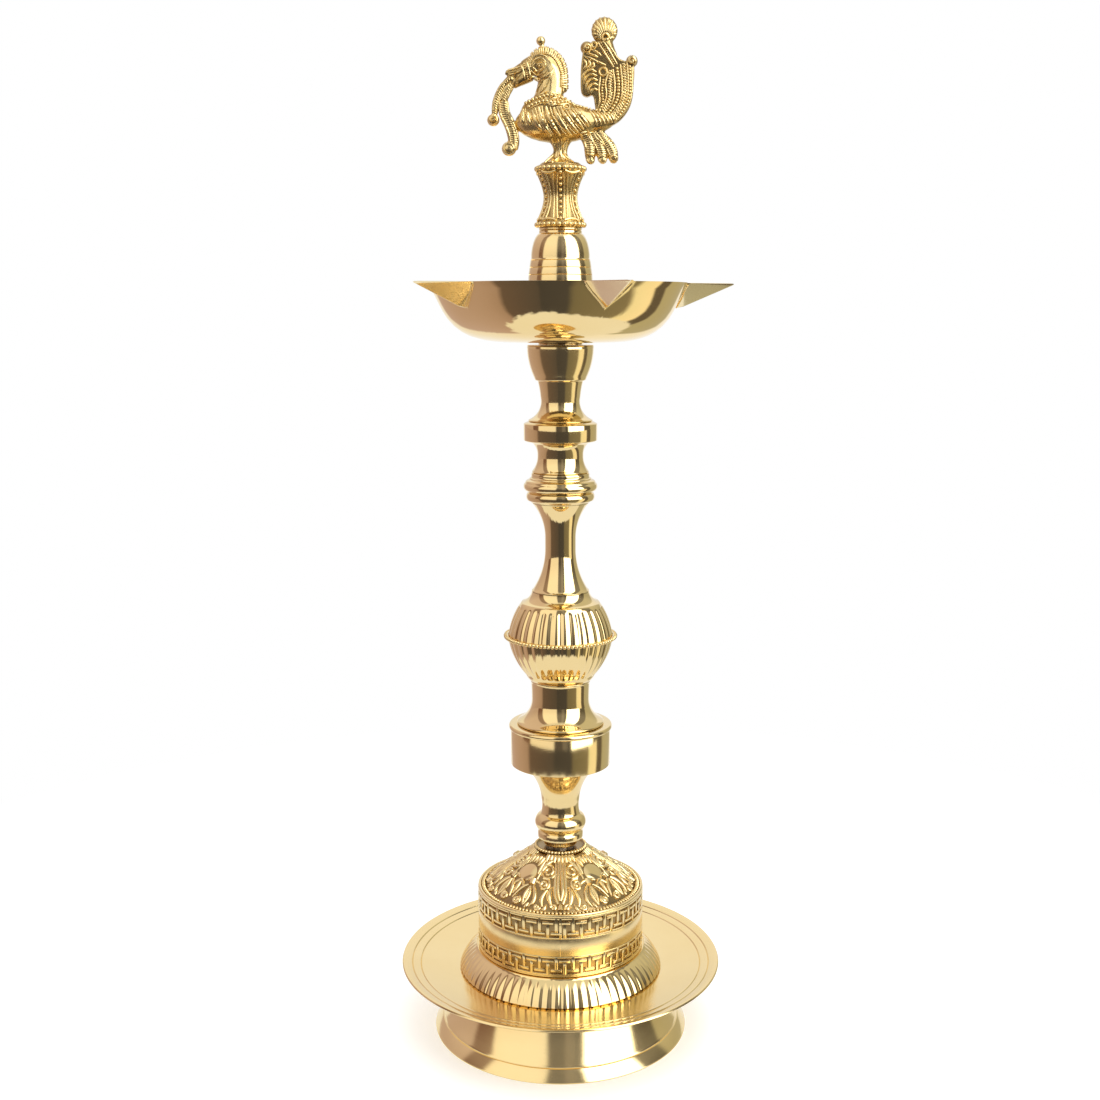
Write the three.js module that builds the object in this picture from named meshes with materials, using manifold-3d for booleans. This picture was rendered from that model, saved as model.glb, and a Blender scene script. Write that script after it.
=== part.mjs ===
// Peacock standing oil lamp, about 560 mm tall.
// Millimetres, +Z up, the lamp's axis on Z, its front towards -Y and the bird's beak towards -X.
import * as THREE from "three";
import { mergeVertices } from "three/addons/utils/BufferGeometryUtils.js";
import Module from "manifold-3d";

const wasm = await Module();
wasm.setup();

// Clearances and threads
const seatGap = 0.15;
const boreGap = 0.3;
const screwPitch = 2;
const threadTurns = 5;
const threadDepth = 0.7;
const studRadius = 4.5;
const studSetting = 0.5;
const boreRelief = 1;
const washerOverhang = 2.7;
const washerThickness = 0.9;
const hollowMargin = 1.2;
const edgeEase = 0.6;

// Foot
const footRimRadius = 72.8;
const footRimHeight = 3;
const footRestWidth = 3;
const footGrooveRadius = 68;
const footGrooveHeight = 5.5;
const footGrooveDepth = 0.7;
const footCrownRadius = 44;
const footHeight = 33.5;
const footFlare = 1.5;
const footWall = 2;
const footSkirt = 3.2;

// Drum with its bead ring
const drumRadius = 47.3;
const drumHeight = 36.4;
const drumWall = 1.6;
const drumLedgeDrop = 1.6;
const drumLedgeThickness = 1.4;
const drumLedgeWidth = 8.3;
const drumBeadRadius = 1.1;

// Fluted collar under the drum
const collarStep = 1.3;
const collarSpread = 9.6;
const collarHeight = 12.9;
const collarCurve = 2.4;
const collarWall = 1.8;
const collarFlutes = 72;
const collarFluteDepth = 0.8;
const collarPlainStrip = 0.1;

// Drip plate under the collar
const plateMargin = 1.8;
const plateRimWidth = 31.5;
const plateRise = 6;
const plateThickness = 1.8;

// Domed cover
const domeRise = 22;
const domeCurve = 1.6;
const domeEdge = 0.8;
const domeCollar = 2.9;
const domeNeckStep = 1.7;
const domeWall = 1.4;

// Tie rod of the base
const nutWall = 2;
const nutHeight = 4;
const rodTail = 5;

// Lower stem
const stemFootRadius = 12.9;
const stemFootHeight = 8.3;
const stemBulbRadius = 14.6;
const stemBulbHeight = 9.6;
const stemBulbStep = 0.8;
const stemWaistRadius = 10.9;
const stemWaistHeight = 26.5;
const stemWaistCurve = 0.4;
const stemCupRadius = 22;
const stemCupCurve = 2.5;
const stemHeight = 47.6;

// Ring drum and its neck
const ringRadius = 29;
const ringLip = 1;
const ringLipHeight = 3;
const ringHeight = 23.8;
const ringFloor = 3;
const neckFootRadius = 24.5;
const neckFootHeight = 1;
const neckWaistRadius = 16.3;
const neckWaistHeight = 16.2;
const neckFootCurve = 2.4;
const neckTopRadius = 17.6;
const neckTopCurve = 0.3;
const neckHeight = 25;
const neckWall = 4;
const neckHollow = 3.2;

// Fluted ball
const ballRadius = 29.3;
const ballPoleStep = 0.2;
const ballHalfHeight = 25.1;
const ballCurve = 5;
const ballWall = 3.1;
const ballInnerCurve = 3;
const ballFlutes = 32;
const ballFluteDepth = 0.9;
const ballFluteHeight = 14;
const ballBeadRadius = 1.4;

// Long middle stem
const middleFootRadius = 15.9;
const middleFootCurve = 1.8;
const middleWaistRadius = 8.7;
const middleWaistHeight = 27;
const middleTopRadius = 15.8;
const middleTopCurve = 1.9;
const middleHeight = 49.5;
const middleBore = 4;

// Double ring of the upper stem
const doubleFootRadius = 16.5;
const doubleLowRadius = 18.1;
const doubleLowHeight = 5.6;
const doubleStepRadius = 18.8;
const doubleHighRadius = 19.2;
const doubleHighHeight = 11;
const doubleHighCurve = 1.4;
const doubleShoulderRadius = 17.8;
const doubleShoulderHeight = 13.4;
const doubleTopRadius = 16;
const doubleHeight = 16.3;

// Flat ring of the upper stem
const flatNeckRadius = 12.8;
const flatNeckHeight = 17.4;
const flatNeckCurve = 0.7;
const flatNeckInset = 0.3;
const flatRingRadius = 20.1;
const flatRingHeight = 10.6;

// Cup under the bowl
const cupFootInset = 2.6;
const cupNeckRadius = 10.9;
const cupNeckHeight = 13.2;
const cupNeckCurve = 2.4;
const cupFlare = 1.4;
const cupStepHeight = 22;
const cupStepRadius = 13.6;
const cupRadius = 18.1;
const cupCurve = 0.9;
const cupHeight = 41.1;

// Oil bowl
const bowlRimRadius = 69.3;
const bowlHeight = 31.6;
const bowlFloorRadius = 16;
const bowlHipRadius = 53.3;
const bowlHipHeight = 7.2;
const bowlHipCurve = 2.1;
const bowlRimCurve = 1.2;
const bowlWall = 1.6;
const bowlLobe = 0.025;
const bowlBoreGap = 0.7;
const bowlWasherRadius = 11.9;

// Spouts of the bowl
const spoutCount = 5;
const spoutAngle = 21;
const spoutLength = 24.7;
const spoutRootInset = 4;
const spoutHalfWidth = 14.5;
const spoutKeelShare = 0.35;
const spoutDepth = 13;
const spoutLip = 0.1;
const spoutTipWidth = 1.6;
const spoutTipDepth = 0.8;
const spoutTipWalls = 3;
const spoutKeelWalls = 1.4;

// Cap
const capRadius = 18.6;
const capHeight = 57.4;
const capShoulderHeight = 38;
const capShoulderCurve = 2.1;
const capGrooveSpacing = 3.8;
const capGrooveDepth = 0.5;
const capTaper = 0.6;
const capNeckRadius = 11.5;
const capNeckHeight = 1;
const capWall = 6;

// Finial's washer and pedestal
const finialStudRadius = 3.2;
const finialWasherInset = 0.1;
const finialWasherThickness = 1.3;
const pedestalRimRadius = 13.9;
const pedestalRimStep = 0.8;
const pedestalRimHeight = 2.8;
const pedestalWaistRadius = 8.6;
const pedestalWaistHeight = 15.4;
const pedestalLowCurve = 1.2;
const pedestalHighCurve = 1;
const pedestalTopHeight = 3.4;
const pedestalHeight = 32;

// Peacock: its profile lies in the XZ plane and its depth along Y. Its sizes are those of a bird
// 75 mm tall, and grow with its height
const birdHeight = 75;
const birdUnit = birdHeight / 75;
const birdFootRadius = 11.5 * birdUnit;
const birdFootEdge = 1.8 * birdUnit;
const birdStalkRadius = 3.4 * birdUnit;
const birdStalkHeight = 6.5 * birdUnit;
const birdFootTopRadius = 6.5 * birdUnit;
const birdFootHeight = 13.5 * birdUnit;
const birdFootX = -0.8 * birdUnit;
const birdFootFlatness = 0.65;
const birdBodyLength = 45 * birdUnit;
const birdBodyHeight = 21 * birdUnit;
const birdBodyDepth = 18 * birdUnit;
const birdBodyX = -1.5 * birdUnit;
const birdBodyZ = 22 * birdUnit;
const birdBodyTilt = 2;
const birdManeDepth = 3 * birdUnit;
const birdManeTeeth = 16;
const birdManeToothLow = 0.2 * birdUnit;
const birdManeToothHigh = 1.2 * birdUnit;
const birdStemRadius = 1.2 * birdUnit;
const birdStrandRadius = 1.8 * birdUnit;
const birdStrandDepth = 2.1 * birdUnit;
const birdTailDepth = 5 * birdUnit;
const birdBandRadius = 1.5 * birdUnit;
const birdBandDepth = 3.8 * birdUnit;
const birdCrownRadius = 6.9 * birdUnit;

// Finishes
const brassColour = 0xd8ae52;
const castBrassColour = 0xb98f3c;
const steelColour = 0x9a9a98;
const fineSides = 32;
const roundSides = 28;
const stemSides = 20;
const studSides = 8;
const nutHoleSides = 12;
const stepsPerTurn = 3;

function finish(colour, roughness) {
  return new THREE.MeshStandardMaterial({ color: colour, roughness, metalness: 1 });
}

const polishedBrass = finish(brassColour, 0.15);
const castBrass = finish(castBrassColour, 0.35);
const steel = finish(steelColour, 0.4);

// Solids

function toSolid(geometry) {
  geometry.deleteAttribute("normal");
  geometry.deleteAttribute("uv");
  const merged = mergeVertices(geometry, 1e-4);
  const source = merged.index.array;
  const kept = [];
  for (let i = 0; i < source.length; i += 3) {
    const [a, b, c] = [source[i], source[i + 1], source[i + 2]];
    if (a !== b && b !== c && c !== a) kept.push(a, b, c);
  }
  const corners = merged.attributes.position.array;
  if (volume(corners, kept) < 0) kept.reverse();
  return new wasm.Manifold(new wasm.Mesh({
    numProp: 3,
    vertProperties: new Float32Array(corners),
    triVerts: new Uint32Array(kept),
  }));
}

function volume(corners, index) {
  const [a, b, c] = [new THREE.Vector3(), new THREE.Vector3(), new THREE.Vector3()];
  let sum = 0;
  for (let i = 0; i < index.length; i += 3) {
    a.fromArray(corners, index[i] * 3);
    b.fromArray(corners, index[i + 1] * 3);
    c.fromArray(corners, index[i + 2] * 3);
    sum += a.dot(b.cross(c)) / 6;
  }
  return sum;
}

function toGeometry(solid) {
  const mesh = solid.getMesh();
  const geometry = new THREE.BufferGeometry();
  geometry.setAttribute("position", new THREE.BufferAttribute(mesh.vertProperties, 3));
  geometry.setIndex(new THREE.BufferAttribute(mesh.triVerts, 1));
  geometry.computeVertexNormals();
  return geometry;
}

// A turned outline is a list of [radius, height, bulge]: each entry is a corner that is reached by a
// straight line, or by an arc that bulges out of the metal by that much, or into it when negative.
function outline(corners, arcSteps) {
  const points = [];
  for (const [radius, height, bulge = 0] of corners) {
    const corner = new THREE.Vector2(radius, height);
    if (points.length > 0 && bulge !== 0) points.push(...arcBetween(points.at(-1), corner, bulge, arcSteps));
    points.push(corner);
  }
  return points;
}

function arcBetween(from, to, bulge, steps) {
  const chord = to.clone().sub(from);
  const half = chord.length() / 2;
  const along = chord.clone().normalize();
  const outward = new THREE.Vector2(along.y, -along.x);
  const arcRadius = (half * half + bulge * bulge) / (2 * bulge);
  const centre = from.clone().add(to).multiplyScalar(0.5).addScaledVector(outward, bulge - arcRadius);
  const halfAngle = Math.asin(Math.min(1, half / Math.abs(arcRadius)));
  const points = [];
  for (let i = 1; i < steps; i += 1) {
    const angle = halfAngle * (2 * i / steps - 1);
    const point = centre.clone().addScaledVector(outward, arcRadius * Math.cos(angle));
    points.push(point.addScaledVector(along, Math.abs(arcRadius) * Math.sin(angle)));
  }
  return points;
}

// Turned round Z, the outline closed on itself. shape(angle, radius, height) may scale the radius.
function turned(corners, sides = stemSides, arcSteps = 4, shape = null) {
  const points = outline(corners, arcSteps);
  points.push(points[0].clone());
  const geometry = new THREE.LatheGeometry(points, sides);
  geometry.rotateX(Math.PI / 2);
  if (shape) {
    const place = geometry.attributes.position;
    for (let i = 0; i < place.count; i += 1) {
      const [x, y, z] = [place.getX(i), place.getY(i), place.getZ(i)];
      const scale = shape(Math.atan2(y, x), Math.hypot(x, y), z);
      place.setXY(i, x * scale, y * scale);
    }
  }
  return toSolid(geometry);
}

// A solid from rings of corners that all have the same count, with a flat end at each end ring.
function loft(corners, ringCount, sides) {
  const index = [];
  for (let k = 0; k + 1 < ringCount; k += 1) {
    for (let i = 0; i < sides; i += 1) {
      const [a, b] = [k * sides + i, k * sides + (i + 1) % sides];
      index.push(a, b, a + sides, b, b + sides, a + sides);
    }
  }
  const last = (ringCount - 1) * sides;
  for (let i = 1; i + 1 < sides; i += 1) index.push(0, i + 1, i, last, last + i, last + i + 1);
  const geometry = new THREE.BufferGeometry();
  geometry.setAttribute("position", new THREE.Float32BufferAttribute(corners, 3));
  geometry.setIndex(index);
  return geometry;
}

// A rod on Z whose surface carries a screw thread between the heights in each [low, high] zone.
function threadedRod(low, high, radius, zones) {
  const levels = [low, high];
  for (const [start, end] of zones) {
    const count = Math.round((end - start) / screwPitch * stepsPerTurn);
    for (let i = 0; i <= count; i += 1) levels.push(start + (end - start) * i / count);
  }
  levels.sort((a, b) => a - b);
  const heights = levels.filter((z, i) => i === 0 || z - levels[i - 1] > 1e-3);
  const corners = [];
  for (const z of heights) {
    const cut = zones.some(([start, end]) => z >= start && z <= end);
    for (let i = 0; i < studSides; i += 1) {
      const angle = 2 * Math.PI * i / studSides;
      const phase = THREE.MathUtils.euclideanModulo(z / screwPitch - i / studSides, 1);
      const groove = cut ? threadDepth * Math.abs(1 - 2 * phase) : threadDepth;
      corners.push((radius - groove) * Math.cos(angle), (radius - groove) * Math.sin(angle), z);
    }
  }
  return toSolid(loft(corners, heights.length, studSides));
}

function washer(low, inner, outer, thickness) {
  return turned([[outer, low], [outer, low + thickness], [inner, low + thickness], [inner, low]]);
}

function upright(radius, low, height, sides) {
  const cylinder = new THREE.CylinderGeometry(radius, radius, height, sides);
  cylinder.rotateX(Math.PI / 2);
  cylinder.translate(0, 0, low + height / 2);
  return toSolid(cylinder);
}

function hexNut(low) {
  const hole = upright(rodHole, low - nutHeight / 2, 2 * nutHeight, nutHoleSides);
  return upright(nutCornerRadius, low, nutHeight, 6).subtract(hole);
}

// Radii that follow from others
const rodHole = studRadius + boreGap;
const washerRadius = studRadius + washerOverhang;
const recessRadius = washerRadius + boreGap;
const nutCornerRadius = 2 * (rodHole + nutWall) / Math.sqrt(3);
const nutRecess = nutCornerRadius + boreGap;
const stemBore = rodHole + hollowMargin;
const drumInner = drumRadius - drumWall;
const drumLedgeRadius = drumRadius - drumLedgeWidth;
const beadRingRadius = drumInner - boreGap - drumBeadRadius;
const domeRadius = beadRingRadius - drumBeadRadius - boreGap;
const domeNeckRadius = stemFootRadius + domeNeckStep;
const collarShoulder = drumRadius + collarStep;
const collarRadius = collarShoulder + collarSpread;
const plateFloorRadius = collarRadius + plateMargin;
const plateRadius = plateFloorRadius + plateRimWidth;
const ballPoleRadius = neckTopRadius + ballPoleStep;
const ballTopRadius = middleFootRadius + ballPoleStep;

// Heights of the stack, each piece standing on the one below
const recessDepth = washerThickness + 2 * seatGap;
const threadLength = threadTurns * screwPitch;
const finialStudLength = threadLength;
const capThreadDepth = finialStudLength + 3 * boreRelief;
const rodWasherLow = footHeight - footWall - seatGap - washerThickness;
const rodNutLow = rodWasherLow - seatGap - nutHeight;
const rodLow = rodNutLow - rodTail;
const plateLow = footHeight + seatGap;
const plateFloor = plateLow + plateThickness;
const collarLow = plateFloor + seatGap;
const drumLow = collarLow + collarHeight + seatGap;
const drumTop = drumLow + drumHeight;
const ledgeTop = drumTop - drumLedgeDrop;
const domeLow = ledgeTop + seatGap;
const domeTop = domeLow + domeRise + domeCollar;
const stemLow = domeTop + seatGap;
const topNutLow = stemLow;
const stemRecessTop = topNutLow + nutHeight + seatGap + recessDepth;
const rodHigh = stemRecessTop + threadLength;
const ringLow = stemLow + stemHeight + seatGap;
const neckLow = ringLow + ringHeight + seatGap;
const neckTop = neckLow + neckHeight;
const ballLow = neckTop + seatGap;
const ballSeam = ballLow + ballHalfHeight;
const ballUpperLow = ballSeam + seatGap;
const middleLow = ballUpperLow + ballHalfHeight + seatGap;
const middleTop = middleLow + middleHeight;
const doubleLow = middleTop + seatGap;
const flatNeckLow = doubleLow + doubleHeight + seatGap;
const cupLow = flatNeckLow + flatNeckHeight + flatRingHeight + seatGap;
const cupTop = cupLow + cupHeight;
const bowlWasherLow = cupTop + seatGap;
const bowlLow = bowlWasherLow + washerThickness + seatGap;
const bowlFloor = bowlLow + bowlWall;
const bowlRim = bowlLow + bowlHeight;
const capLow = bowlFloor + seatGap;
const bowlStudHigh = capLow + recessDepth + threadLength;
const finialWasherLow = capLow + capHeight + seatGap;
const pedestalLow = finialWasherLow + finialWasherThickness + seatGap;
const birdLow = pedestalLow + pedestalHeight + seatGap;

// Base

function footCone() {
  const restInner = footRimRadius - footRestWidth;
  return turned([
    [footRimRadius - edgeEase, 0],
    [footRimRadius, footRimHeight / 2],
    [footRimRadius - edgeEase, footRimHeight],
    [footGrooveRadius + footGrooveDepth, footGrooveHeight - footGrooveDepth / 2],
    [footGrooveRadius, footGrooveHeight],
    [footGrooveRadius, footGrooveHeight + footGrooveDepth],
    [footCrownRadius, footHeight, footFlare],
    [rodHole, footHeight],
    [rodHole, footHeight - footWall],
    [footCrownRadius - footWall, footHeight - footWall],
    [footGrooveRadius - footSkirt, footGrooveHeight - footWall / 2, -footFlare],
    [restInner, footRimHeight - footWall],
    [restInner, 0],
  ], fineSides, 3);
}

function dripPlate() {
  const lip = plateFloor + plateRise;
  return turned([
    [plateFloorRadius, plateLow],
    [plateRadius - edgeEase, lip - plateThickness],
    [plateRadius, lip - plateThickness / 2],
    [plateRadius - edgeEase, lip],
    [plateFloorRadius, plateFloor],
    [rodHole, plateFloor],
    [rodHole, plateLow],
  ], fineSides);
}

// The flutes are deepest halfway up and fade out under the drum.
function collarFluting(angle, radius, z) {
  const level = THREE.MathUtils.clamp((z - collarLow) / collarHeight, collarPlainStrip, 1 - collarPlainStrip);
  const ridge = Math.abs(Math.cos(collarFlutes * angle / 2));
  const groove = collarFluteDepth * Math.sin(Math.PI * level) * (1 - ridge);
  return radius > collarShoulder - collarStep ? (radius - groove) / radius : 1;
}

function flutedCollar() {
  const top = collarLow + collarHeight;
  const bell = turned([
    [0, collarLow],
    [collarRadius, collarLow],
    [collarShoulder, top, collarCurve],
    [0, top],
  ], 2 * collarFlutes, 2, collarFluting);
  const hollow = turned([
    [0, collarLow - boreRelief],
    [collarRadius - 2 * collarWall, collarLow - boreRelief],
    [collarRadius - 2 * collarWall, collarLow + boreRelief],
    [collarShoulder - 2 * collarWall, top - collarWall, collarCurve / 2],
    [0, top - collarWall],
  ], roundSides, 2);
  const crownHole = upright(drumLedgeRadius, collarLow, 2 * collarHeight, roundSides);
  return bell.subtract(hollow).subtract(crownHole);
}

function drumBand() {
  return turned([
    [drumRadius - edgeEase, drumLow],
    [drumRadius, drumLow + edgeEase],
    [drumRadius, drumTop - edgeEase],
    [drumRadius - edgeEase, drumTop],
    [drumInner, drumTop],
    [drumInner, ledgeTop],
    [drumLedgeRadius, ledgeTop],
    [drumLedgeRadius, ledgeTop - drumLedgeThickness],
    [drumInner, ledgeTop - drumLedgeThickness],
    [drumInner, drumLow],
  ], fineSides);
}

// The band that carries a ring of beads, as high and as thick as its beads
function beadRing(radius, beadRadius, height) {
  return turned([
    [radius, height - beadRadius],
    [radius + beadRadius, height],
    [radius, height + beadRadius],
    [radius - beadRadius, height],
  ], fineSides);
}

function domeCover() {
  const neckFoot = domeLow + domeRise;
  return turned([
    [domeRadius, domeLow],
    [domeRadius, domeLow + domeEdge],
    [domeNeckRadius, neckFoot, domeCurve],
    [domeNeckRadius, domeTop - 2 * edgeEase],
    [domeNeckRadius - 2 * edgeEase, domeTop],
    [rodHole, domeTop],
    [rodHole, domeTop - domeWall],
    [domeNeckRadius - domeWall, domeTop - domeWall - edgeEase],
    [domeNeckRadius - domeWall, neckFoot - domeWall],
    [domeRadius - domeWall, domeLow, -domeCurve],
  ], roundSides);
}

// The rod runs from under the foot's crown to the lower stem's thread.
function tieRod() {
  return threadedRod(rodLow, rodHigh, studRadius, [[rodLow, rodNutLow + nutHeight], [topNutLow, rodHigh]]);
}

// Stem

function lowerStem() {
  const bulbLow = stemLow + stemFootHeight;
  const bulbTop = bulbLow + stemBulbHeight;
  const bulbSide = stemFootRadius - stemBulbStep;
  const top = stemLow + stemHeight;
  return turned([
    [stemFootRadius - edgeEase, stemLow],
    [stemFootRadius, stemLow + edgeEase],
    [stemFootRadius, bulbLow - stemBulbStep],
    [bulbSide, bulbLow],
    [bulbSide, bulbTop, stemBulbRadius - bulbSide],
    [stemWaistRadius, stemLow + stemWaistHeight, -stemWaistCurve],
    [stemCupRadius, top, -stemCupCurve],
    [stemBore, top],
    [stemBore, rodHigh + boreRelief],
    [rodHole, rodHigh + boreRelief],
    [rodHole, stemRecessTop],
    [nutRecess, stemRecessTop],
    [nutRecess, stemLow],
  ]);
}

function ringDrum() {
  const top = ringLow + ringHeight;
  const side = ringRadius - ringLip;
  const hollow = neckFootRadius - neckWall;
  return turned([
    [side - edgeEase, ringLow],
    [side, ringLow + edgeEase],
    [side, top - ringLipHeight],
    [ringRadius, top - ringLipHeight + edgeEase],
    [ringRadius, top - edgeEase],
    [ringRadius - edgeEase, top],
    [hollow, top],
    [hollow, ringLow + ringFloor],
    [stemBore, ringLow + ringFloor],
    [stemBore, ringLow],
  ], roundSides);
}

function ringNeck() {
  const hollow = rodHole + neckHollow;
  return turned([
    [neckFootRadius, neckLow],
    [neckFootRadius, neckLow + neckFootHeight],
    [neckWaistRadius, neckLow + neckWaistHeight, -neckFootCurve],
    [neckTopRadius, neckTop, -neckTopCurve],
    [rodHole, neckTop],
    [rodHole, neckTop - threadLength],
    [hollow, neckTop - threadLength - 2 * boreRelief],
    [hollow, neckLow],
  ]);
}

// A stud is set in the piece below by one thread length and stands up into the next by another.
function stud(face, high = face + recessDepth + threadLength) {
  return threadedRod(face - threadLength + studSetting, high, studRadius, [[high - threadLength, high]]);
}

function ballFluting(angle, radius, z) {
  const reach = Math.abs(z - ballSeam) < ballFluteHeight ? 1 : 0;
  const ridge = Math.abs(Math.cos(ballFlutes * angle / 2));
  const groove = ballFluteDepth * reach * (1 - ridge);
  return radius > ballPoleRadius ? (radius - groove) / radius : 1;
}

function ballLowerShell() {
  const bossTop = ballLow + recessDepth + threadLength;
  const inner = ballRadius - ballWall;
  const outside = turned([
    [0, ballLow],
    [ballPoleRadius, ballLow],
    [ballRadius, ballSeam, ballCurve],
    [0, ballSeam],
  ], 2 * ballFlutes, 4, ballFluting);
  const inside = turned([
    [0, ballLow - boreRelief],
    [recessRadius, ballLow - boreRelief],
    [recessRadius, ballLow + recessDepth],
    [rodHole, ballLow + recessDepth],
    [rodHole, bossTop],
    [rodHole + ballWall, bossTop],
    [inner, ballSeam, ballInnerCurve],
    [inner, ballSeam + boreRelief],
    [0, ballSeam + boreRelief],
  ], stemSides, 3);
  return outside.subtract(inside);
}

function ballUpperShell() {
  const top = ballUpperLow + ballHalfHeight;
  const inner = ballRadius - ballWall;
  const outside = turned([
    [0, ballUpperLow],
    [ballRadius, ballUpperLow],
    [ballTopRadius, top, ballCurve],
    [0, top],
  ], 2 * ballFlutes, 4, ballFluting);
  const inside = turned([
    [0, ballUpperLow - boreRelief],
    [inner, ballUpperLow - boreRelief],
    [inner, ballUpperLow],
    [stemBore, top - ballWall, ballInnerCurve],
    [stemBore, top + boreRelief],
    [0, top + boreRelief],
  ], stemSides, 3);
  return outside.subtract(inside);
}

function middleStem() {
  return turned([
    [middleFootRadius, middleLow],
    [middleWaistRadius, middleLow + middleWaistHeight, -middleFootCurve],
    [middleTopRadius, middleTop, -middleTopCurve],
    [rodHole, middleTop],
    [rodHole, middleTop - threadLength],
    [middleBore, middleTop - threadLength - boreRelief],
    [middleBore, middleLow],
  ]);
}

function doubleRing() {
  const top = doubleLow + doubleHeight;
  const boreTop = doubleLow + recessDepth + threadLength;
  return turned([
    [doubleFootRadius, doubleLow],
    [doubleLowRadius, doubleLow + edgeEase],
    [doubleLowRadius, doubleLow + doubleLowHeight, edgeEase],
    [doubleStepRadius, doubleLow + doubleLowHeight + edgeEase],
    [doubleHighRadius, doubleLow + doubleHighHeight, doubleHighCurve],
    [doubleShoulderRadius, doubleLow + doubleShoulderHeight],
    [doubleTopRadius, top],
    [stemBore, top],
    [stemBore, boreTop + boreRelief],
    [rodHole, boreTop],
    [rodHole, doubleLow + recessDepth],
    [recessRadius, doubleLow + recessDepth],
    [recessRadius, doubleLow],
  ], stemSides, 3);
}

function flatRing() {
  const ringFoot = flatNeckLow + flatNeckHeight;
  const top = ringFoot + flatRingHeight;
  const neckEndRadius = doubleTopRadius - flatNeckInset;
  return turned([
    [neckEndRadius, flatNeckLow],
    [flatNeckRadius, flatNeckLow + flatNeckHeight / 2, -flatNeckCurve],
    [neckEndRadius, ringFoot - edgeEase, -flatNeckCurve],
    [flatRingRadius - edgeEase, ringFoot],
    [flatRingRadius, ringFoot + edgeEase],
    [flatRingRadius, top - edgeEase],
    [flatRingRadius - edgeEase, top],
    [stemBore, top],
    [stemBore, flatNeckLow],
  ], stemSides, 3);
}

function bowlCup() {
  const step = cupLow + cupStepHeight;
  return turned([
    [flatRingRadius - cupFootInset, cupLow],
    [cupNeckRadius, cupLow + cupNeckHeight, -cupNeckCurve],
    [cupNeckRadius + cupFlare, step],
    [cupStepRadius, step + edgeEase],
    [cupStepRadius + edgeEase, step + 3 * edgeEase],
    [cupRadius, cupTop - edgeEase, cupCurve],
    [cupRadius - edgeEase, cupTop],
    [rodHole, cupTop],
    [rodHole, cupTop - threadLength],
    [stemBore, cupTop - threadLength - boreRelief],
    [stemBore, cupLow],
  ]);
}

// Bowl

function spoutHeading(index) {
  return THREE.MathUtils.degToRad(spoutAngle - 90 + index * 360 / spoutCount);
}

// The bowl bulges a little between its spouts.
function bowlLobes(angle, radius) {
  const between = -Math.cos(spoutCount * (angle - spoutHeading(0)));
  return radius > bowlHipRadius / 2 ? 1 + bowlLobe * between : 1;
}

// A V-shaped wedge from the bowl's middle to the spout's tip, with its upper face at the given height.
function spoutWedge(index, inset, top) {
  const half = spoutHalfWidth - inset;
  const drop = spoutDepth - spoutKeelWalls * inset;
  const tip = bowlRimRadius + spoutLength - spoutTipWalls * inset;
  const sections = [
    [bowlFloorRadius, half, drop],
    [bowlRimRadius - spoutRootInset, half, drop],
    [tip, spoutTipWidth / 2, spoutTipDepth],
  ];
  const corners = sections.flatMap(([reach, halfWidth, depth]) => {
    const keel = halfWidth * spoutKeelShare;
    return [
      reach, -halfWidth, top,
      reach, halfWidth, top,
      reach, halfWidth, bowlRim - spoutLip,
      reach, keel, bowlRim - depth,
      reach, -keel, bowlRim - depth,
      reach, -halfWidth, bowlRim - spoutLip,
    ];
  });
  const wedge = loft(corners, sections.length, 6);
  wedge.rotateZ(spoutHeading(index));
  return toSolid(wedge);
}

function bowlBlank(inset, low, high) {
  return turned([
    [0, low],
    [bowlFloorRadius, low],
    [bowlHipRadius - inset, bowlLow + bowlHipHeight + edgeEase * inset, bowlHipCurve],
    [bowlRimRadius - inset, high, bowlRimCurve],
    [0, high],
  ], 8 * spoutCount, 3, bowlLobes);
}

function oilBowl() {
  let outside = bowlBlank(0, bowlLow, bowlRim);
  let inside = bowlBlank(bowlWall, bowlFloor, bowlRim + spoutLip);
  for (let i = 0; i < spoutCount; i += 1) {
    outside = outside.add(spoutWedge(i, 0, bowlRim));
    inside = inside.add(spoutWedge(i, bowlWall, bowlRim + boreRelief));
  }
  const bore = upright(studRadius + bowlBoreGap, bowlLow - bowlWall, 3 * bowlWall, stemSides);
  return outside.subtract(inside).subtract(bore);
}

// Cap and finial

function groove(height, radius) {
  return [
    [radius, height - capGrooveDepth],
    [radius - capGrooveDepth, height],
    [radius, height + capGrooveDepth],
  ];
}

function domeCap() {
  const top = capLow + capHeight;
  const shoulder = capLow + capShoulderHeight;
  const bore = finialStudRadius + boreGap;
  const hollow = capRadius - capWall;
  return turned([
    [capRadius, capLow],
    ...groove(shoulder - capGrooveSpacing, capRadius),
    ...groove(shoulder, capRadius - capTaper),
    ...groove(shoulder + capGrooveSpacing, capRadius - 2 * capTaper),
    [capNeckRadius, top - capNeckHeight, capShoulderCurve],
    [capNeckRadius, top],
    [bore, top],
    [bore, top - capThreadDepth],
    [hollow, top - capThreadDepth - capWall / 2],
    [hollow, bowlStudHigh],
    [rodHole, bowlStudHigh],
    [rodHole, capLow + recessDepth],
    [recessRadius, capLow + recessDepth],
    [recessRadius, capLow],
  ]);
}

function finialWasher() {
  const outer = capNeckRadius - finialWasherInset;
  return washer(finialWasherLow, finialStudRadius + boreGap, outer, finialWasherThickness);
}

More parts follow.
